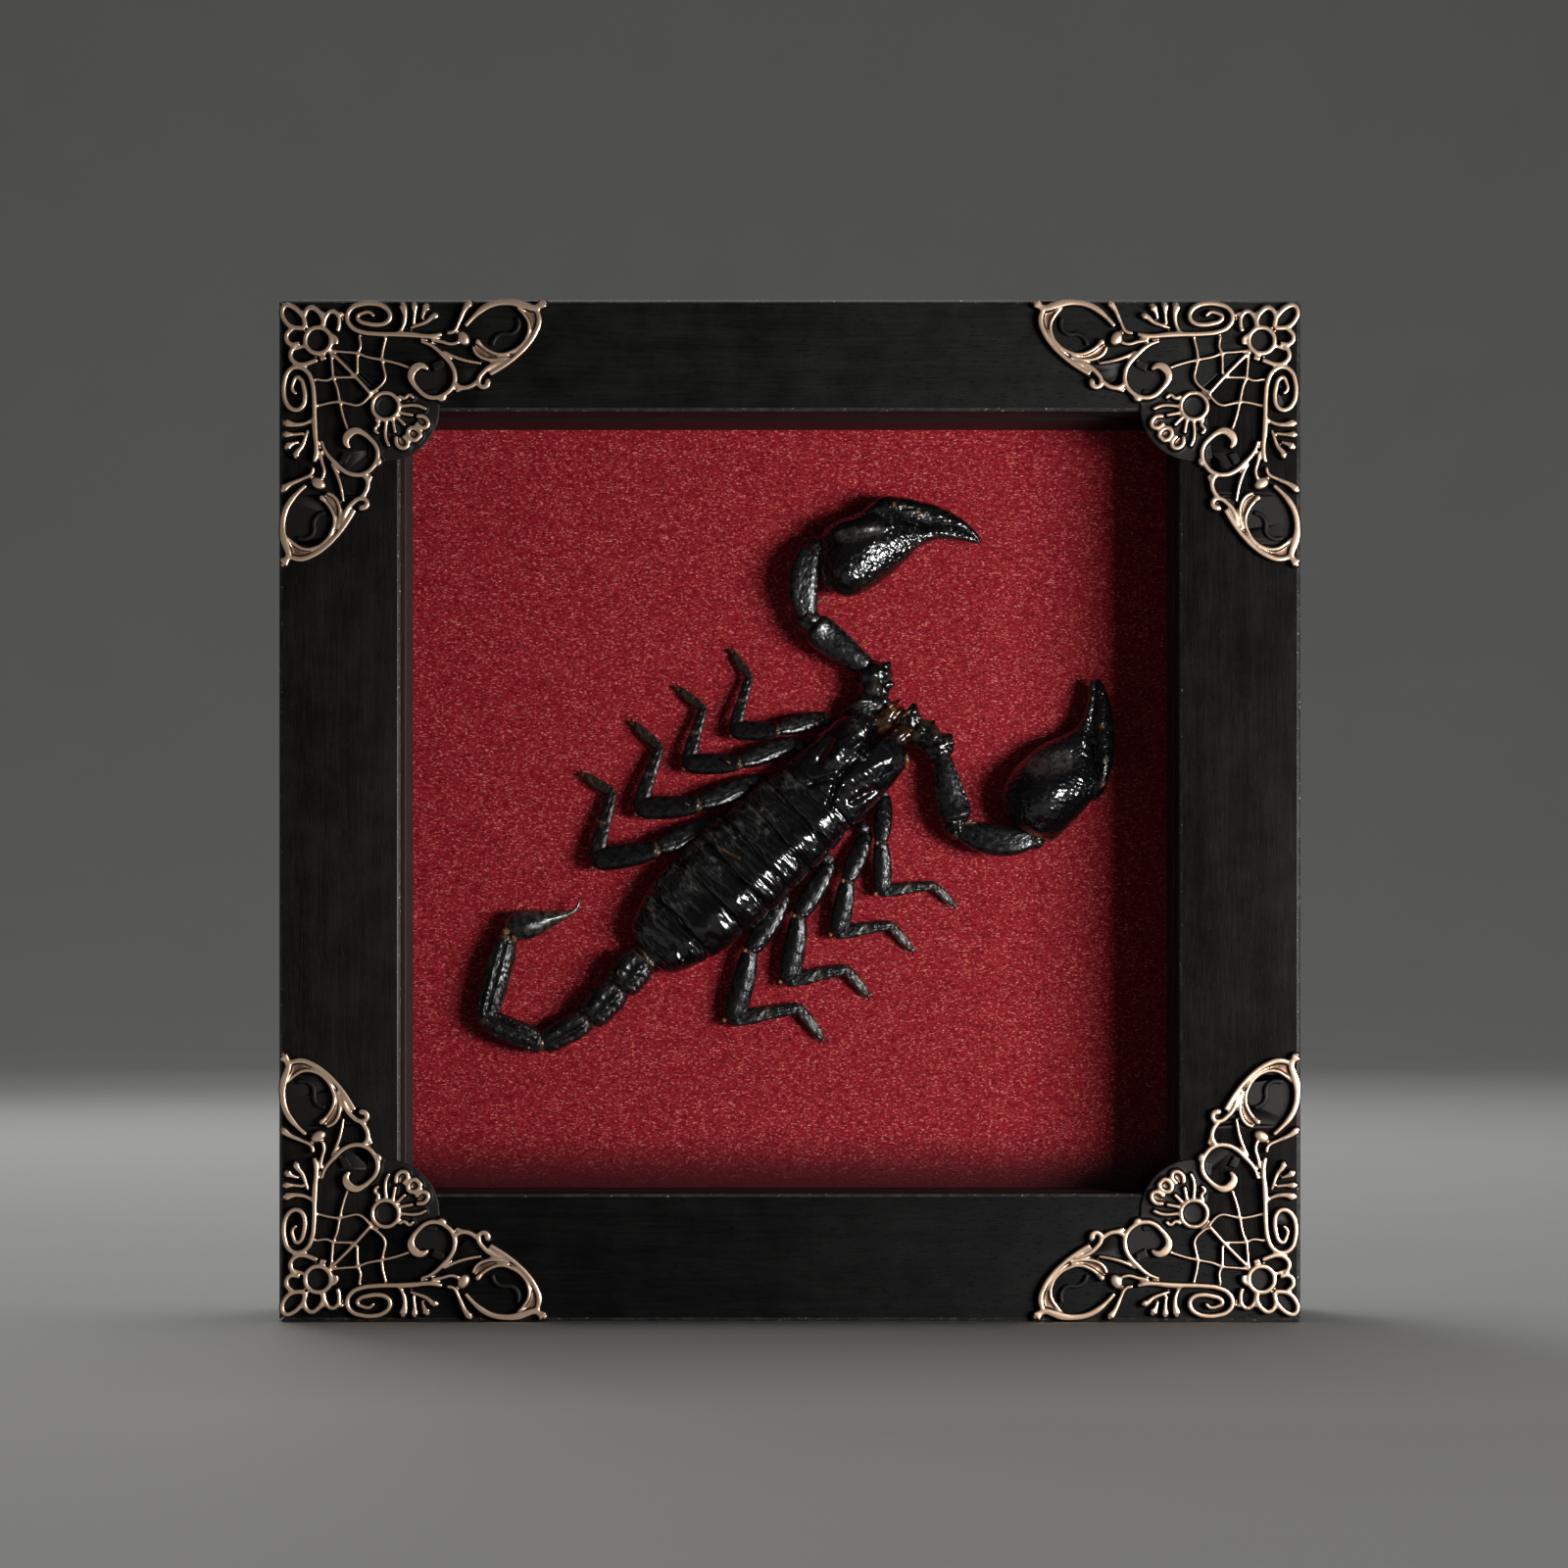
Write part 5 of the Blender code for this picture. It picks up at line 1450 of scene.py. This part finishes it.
def make_arms(shell):
    patterns = {
        "femur": limb_part("arm_femur", 13.0, [
            (0.0, 1.0, 1.0), (0.04, 1.5, 1.5), (0.25, 2.0, 1.9), (0.55, 2.6, 2.0), (0.78, 2.9, 2.0),
            (0.90, 2.8, 2.8), (0.96, 2.3, 2.3), (1.0, 1.4, 1.1),
        ], round_section(12, 0.60, 0.92), rough=0.04, teeth=0.22, count=9, levels=4, bow=0.2,
            tan=lambda place: 0.35 * bell(place.x - 1.0, 0.02)),
        "patella": limb_part("arm_patella", 13.0, [
            (0.0, 1.0, 1.1), (0.05, 1.7, 1.7), (0.22, 2.45, 2.2), (0.50, 2.8, 2.5),
            (0.78, 2.6, 2.3), (0.94, 2.0, 1.8), (1.0, 1.2, 1.1),
        ], HOLLOW, rough=0.05, teeth=0.10, count=11, levels=4, bow=1.2,
            tan=lambda place: 0.3 * bell(place.x, 0.03) + 0.3 * bell(place.x - 1.0, 0.02)),
    }
    for side, parts in ARMS.items():
        made = [knob(*block) for block in parts["blocks"]]
        made += [thorn(*spike) for spike in parts["thorns"]]
        made += [knob(*bit, 0.10, 0.55) for bit in parts["amber"]]
        for name, pattern in patterns.items():
            made.append(laid(twin(pattern), between(*parts[name], mirror=side == "right")))
        piece = joined(made, "arm_shell_" + side)
        finished(piece, ["arm_" + side], "black_shell", shell)
    for pattern in patterns.values():
        bpy.data.objects.remove(pattern)


# The legs: where the hip shows, then length and heading of thigh, shin, foot and toe
LEGS = {
    "left_1": ((5.9, 102.0), [(8.2, -163), (7.7, 180), (9.6, 74), (5.0, 123)]),
    "left_2": ((1.0, 97.8), [(10.2, -158), (9.2, 180), (9.8, 74), (5.2, 140)]),
    "left_3": ((-5.0, 91.3), [(11.3, -157), (10.6, -177), (11.0, 71), (5.9, 137)]),
    "left_4": ((-12.3, 84.1), [(11.3, -155), (11.1, -170), (11.9, 76), (5.6, 147)]),
    "right_1": ((16.3, 88.3), [(7.9, -96), (8.4, -89), (9.1, 7), (4.5, -43)]),
    "right_2": ((13.3, 82.2), [(9.1, -113), (9.1, -101), (9.4, 9), (5.3, -49)]),
    "right_3": ((6.9, 76.8), [(10.6, -121), (11.1, -100), (10.4, 11), (5.5, -50)]),
    "right_4": ((-0.8, 71.1), [(11.2, -123), (12.0, -105), (11.8, 10), (6.5, -53)]),
}
# How thick each pair of legs is next to the last pair
LEG_SIZES = {"1": 0.80, "2": 0.86, "3": 0.95, "4": 1.0}
# How far off the board the hip, the knee, the next two joints and the toe's tip stand
JOINT_RISES = {"left": [1.7, 5.0, 3.2, 1.8, 0.95], "right": [1.7, 3.4, 2.6, 1.7, 0.95]}
# How far the hip's block reaches toward the trunk, and how long the toe's pattern is
HIP_STUB = 1.8
TOE_LENGTH = 5.0
# Amber bits past the thigh and past the shin: after which stretch, how far on, how far out
# and how far up, half sizes and how tan. Their pale tan is partly the joints' own colour and
# partly a painted highlight, for the glints of the wet joints.
JOINT_BITS = [
    (0, 0.3, 0.75, 0.5, (0.36, 0.30, 0.34), 0.7),
    (1, 0.45, 1.15, 0.0, (0.38, 0.36, 0.38), 0.9),
]
# The legs that have a tan fleck near the start of the shin, pale enough to be partly a painted
# highlight
FLECKED = ("left_2", "left_3")


def leg_patterns(section):
    """Thigh, shin, foot and toe, the first two with the given cross section."""
    thigh = limb_part("thigh", 10.0, [
        (0.0, 0.9, 0.6), (0.04, 1.25, 0.9), (0.22, 1.80, 1.20), (0.52, 2.10, 1.35),
        (0.80, 1.85, 1.25), (0.94, 1.45, 1.05), (1.0, 1.0, 0.8),
    ], section, rough=0.05, teeth=0.03, count=13, keel=0.42, dull=0.40,
        tan=lambda place: 0.30 * bell(place.x - 0.985, 0.015) * max(0.0, place.z + 0.3))
    shin = limb_part("shin", 10.0, [
        (0.0, 1.0, 0.8), (0.04, 1.45, 1.05), (0.25, 1.95, 1.35), (0.60, 2.15, 1.45),
        (0.86, 2.0, 1.40), (0.97, 1.5, 1.15), (1.0, 0.9, 0.8),
    ], section, rough=0.09, teeth=0.04, count=8, keel=0.06, bow=0.20, dull=0.45,
        tan=lambda place: 0.35 * bell(place.x - 0.03, 0.02) * max(0.0, place.z))
    foot = limb_part("foot", 10.0, [
        (0.0, 0.8, 0.7), (0.04, 1.25, 1.0), (0.25, 1.40, 1.12), (0.47, 1.32, 1.08),
        (0.54, 1.08, 0.92), (0.62, 1.16, 0.95), (0.85, 1.05, 0.9), (0.97, 0.9, 0.8),
        (1.0, 0.6, 0.5),
    ], RIDGED, rough=0.14, teeth=0.07, count=9,
        tan=lambda place: 0.30 * bell(place.x - 0.54, 0.015) + 0.2 * bell(place.x - 0.99, 0.02))
    toe = limb_part("toe", TOE_LENGTH, [
        (0.0, 0.6, 0.5), (0.06, 0.85, 0.70), (0.35, 0.95, 0.75), (0.70, 0.82, 0.62),
        (0.92, 0.58, 0.5), (1.0, 0.35, 0.3),
    ], RIDGED, rough=0.14, teeth=0.10, count=7, dull=0.8,
        tan=lambda place: 0.09 * bell(place.x - 0.70, 0.45))
    toe_parts = [toe]
    for k in range(12):
        nothing_selected()
        bpy.ops.mesh.primitive_cone_add(vertices=3, radius1=0.05, radius2=0.012, depth=0.9)
        bristle = bpy.context.object
        tint(bristle, 0.12, 0.2)
        side = 1.0 if k % 2 else -1.0
        lean = Matrix.Rotation(side * math.radians(-62.0), 4, "X") @ Matrix.Rotation(0.7, 4, "Y")
        root = Matrix.Translation(((0.12 + 0.07 * k) * TOE_LENGTH, side * 0.80, 0.12 * (k % 3)))
        shorter = Matrix.Diagonal((1.0 / TOE_LENGTH, 1.0, 1.0, 1.0))
        toe_parts.append(laid(bristle, shorter @ root @ lean))
    return thigh, shin, foot, joined(toe_parts, "toe")


def toe_claw():
    """One hooked claw of a toe, a millimetre and a quarter long."""
    stations = [
        (-0.3, 0.0, 0.0, 0.26, 0.26),
        (0.0, 0.0, 0.0, 0.27, 0.27),
        (0.40, 0.12, 0.05, 0.24, 0.24),
        (0.85, 0.12, 0.0, 0.17, 0.17),
        (1.15, -0.05, -0.10, 0.10, 0.10),
        (1.30, -0.30, -0.18, 0.04, 0.04),
    ]
    piece = extruded("toe_claw", bent_rings(stations, round_section(8)))
    rounder(piece, 2)
    tint(piece, lambda place: 0.20 - 0.2 * max(0.0, place.x - 0.3), 0.2)
    return piece


def make_legs(shell):
    """Each leg is laid from the hip outwards, a stretch at a time, and ends in two hooks."""
    patterns = {"left": leg_patterns(KEELED), "right": leg_patterns(ROOFED)}
    hook = toe_claw()
    for name, (hip, stretches) in LEGS.items():
        body_side, number = name.split("_")
        outer = 1.0 if body_side == "left" else -1.0
        across = math.radians(TRUNK_HEADING - 90.0 * outer)
        size = LEG_SIZES[number]
        rises = JOINT_RISES[body_side]
        here = Vector((*hip, rises[0]))
        stub = here + Vector((math.cos(across), math.sin(across), -0.2)) * HIP_STUB
        parts = [knob(*((stub + here) / 2), (1.5, 1.3 * size, 1.0), math.degrees(across), 0.14)]
        for k, (length, heading) in enumerate(stretches):
            turn = math.radians(heading)
            after = here + Vector((math.cos(turn), math.sin(turn), 0.0)) * length
            after.z = rises[k + 1]
            ahead = (after - here).normalized()
            reach = ahead * OVERLAP
            copy = twin(patterns[body_side][k])
            parts.append(laid(copy, between(here - reach, after + reach, size, size, mirror=k > 1)))
            side = Vector((-ahead.y, ahead.x, 0.0))
            # Pale tan bits at the joints: partly their own colour, partly painted highlight.
            for stretch, on, out, up, radii, tan in JOINT_BITS:
                if stretch == k:
                    bit = after + ahead * on + side * (out * size * outer)
                    parts.append(knob(bit.x, bit.y, bit.z + up, radii, heading, 0.1, tan))
            # A pale tan fleck: partly its own colour, partly painted highlight.
            if k == 1 and name in FLECKED:
                x, z, rise = here + ahead * 2.1
                radii = (0.42, 0.15, 0.25)
                parts.append(knob(x, z, rise + 1.1, radii, heading - 30.0, 0.1, 0.8))
            here = after
        for lean in (20.0, -22.0):
            parts.append(laid(twin(hook), on_board(here.x, here.y, heading + lean, here.z)))
        piece = joined(parts, "leg_shell_" + name)
        finished(piece, ["leg_" + name], "black_shell", shell)
    for pattern in (*patterns["left"], *patterns["right"], hook):
        bpy.data.objects.remove(pattern)


def make_specimen():
    """The whole scorpion. Its parts differ in how fine, how glossy and how dusty they are."""
    plates = black_shell("glossy black shell", 2.2, 0.05, 0.12, 0.80, (0.050, 0.046, 0.041))
    rough = black_shell("rough black shell", 3.0, 0.09, 0.19, 0.50, (0.0095, 0.0078, 0.0064))
    palm = black_shell("grainy black shell", 2.2, 0.06, 0.17, 0.80, (0.034, 0.029, 0.024))
    limbs = black_shell("smooth black shell", 2.0, 0.05, 0.14, 0.60, (0.0045, 0.0043, 0.0040))
    make_carapace(plates)
    make_abdomen(plates)
    make_mouth(amber_shell())
    make_eyes(dark_bead())
    make_tail(rough)
    make_stinger(plates)
    make_claws(palm, limbs)
    make_arms(limbs)
    make_legs(rough)


# The studio

FLOOR_RADIUS = 2.2
CORNER_RADIUS = 1.4
WALL_TOP = 3.4
WORLD_LIGHT = 0.052
# What the lamps that light the object aim at, in metres
MIDDLE = (0.0, 0.0, 0.09)


def make_floor():
    """A pale round floor that curves up into a wall, spun from one profile."""
    nothing_selected()
    bpy.ops.mesh.primitive_plane_add(size=1.0)
    floor = bpy.context.object
    floor.name = "studio_floor"
    editing(floor)
    bpy.ops.mesh.merge(type="CENTER")
    bpy.ops.mesh.extrude_region_move(TRANSFORM_OT_translate={"value": (FLOOR_RADIUS, 0.0, 0.0)})
    arc = [(CORNER_RADIUS * math.sin(turn), CORNER_RADIUS * (1.0 - math.cos(turn)))
           for turn in [math.radians(7.5 * k) for k in range(13)]]
    for before, after in zip(arc, arc[1:]):
        step = (after[0] - before[0], 0.0, after[1] - before[1])
        bpy.ops.mesh.extrude_region_move(TRANSFORM_OT_translate={"value": step})
    step = (0.0, 0.0, WALL_TOP - CORNER_RADIUS)
    bpy.ops.mesh.extrude_region_move(TRANSFORM_OT_translate={"value": step})
    bpy.ops.mesh.select_all(action="SELECT")
    bpy.ops.mesh.spin(steps=96, angle=math.tau, center=(0.0, 0.0, 0.0), axis=(0.0, 0.0, 1.0))
    bpy.ops.mesh.select_all(action="SELECT")
    bpy.ops.mesh.remove_doubles(threshold=0.001)
    bpy.ops.mesh.normals_make_consistent(inside=True)
    done()
    floor.data.materials.clear()
    floor.data.materials.append(pale_floor())
    bpy.ops.object.shade_smooth()
    return floor


def soft_lamp(name, place, aim, wide, tall, watts):
    """A rectangle of even light, in metres and watts."""
    light = bpy.data.lights.new(name, "AREA")
    light.shape = "RECTANGLE"
    light.size = wide
    light.size_y = tall
    light.energy = watts
    lamp = bpy.data.objects.new(name, light)
    lamp.location = place
    lamp.rotation_euler = (Vector(aim) - Vector(place)).to_track_quat("-Z", "Y").to_euler()
    bpy.context.scene.collection.objects.link(lamp)
    return lamp


def make_lights():
    """A white world, a low key lamp from the right that leaves the floor alone, a lamp above,
    one for the wall behind and one for the back of the box."""
    scene = bpy.context.scene
    scene.view_settings.view_transform = "Standard"
    world = bpy.data.worlds.new("pale studio")
    scene.world = world
    world.use_nodes = True
    background = world.node_tree.nodes["Background"]
    background.inputs["Color"].default_value = (1.0, 1.0, 1.0, 1.0)
    background.inputs["Strength"].default_value = WORLD_LIGHT
    key = soft_lamp("key", (0.32, -0.34, 0.055), MIDDLE, 0.22, 0.10, 2.75)
    shaded = bpy.data.collections.new("shaded from the key lamp")
    shaded.objects.link(make_floor())
    shaded.collection_objects[0].light_linking.link_state = "EXCLUDE"
    key.light_linking.receiver_collection = shaded
    soft_lamp("back", (-0.4, 0.9, 0.8), MIDDLE, 0.5, 0.5, 2.4)
    soft_lamp("top", (0.0, 0.40, 1.3), (0.0, 0.40, 0.0), 0.9, 0.9, 7.0)
    soft_lamp("wall", (0.0, 1.0, 1.5), (0.0, 2.2, 0.9), 1.4, 0.5, 6.0)


def make_camera():
    """The photo's view: level, from VIEW_DISTANCE, with EYE_PIXEL straight ahead."""
    camera = bpy.data.cameras.new("camera")
    eye = bpy.data.objects.new("camera", camera)
    eye.location = (0.0, FACE - VIEW_DISTANCE * MM, EYE_HEIGHT)
    eye.rotation_euler = (math.radians(90.0), 0.0, 0.0)
    camera.sensor_width = SENSOR
    camera.lens = SENSOR * VIEW_DISTANCE / PIXEL_MM / PHOTO_SIDE
    camera.shift_x = (PHOTO_SIDE / 2 - EYE_PIXEL[0]) / PHOTO_SIDE
    camera.shift_y = (EYE_PIXEL[1] - PHOTO_SIDE / 2) / PHOTO_SIDE
    bpy.context.scene.collection.objects.link(eye)
    bpy.context.scene.camera = eye


make_rails()
make_pane_and_card()
make_fittings()
make_corners()
make_specimen()
make_lights()
make_camera()
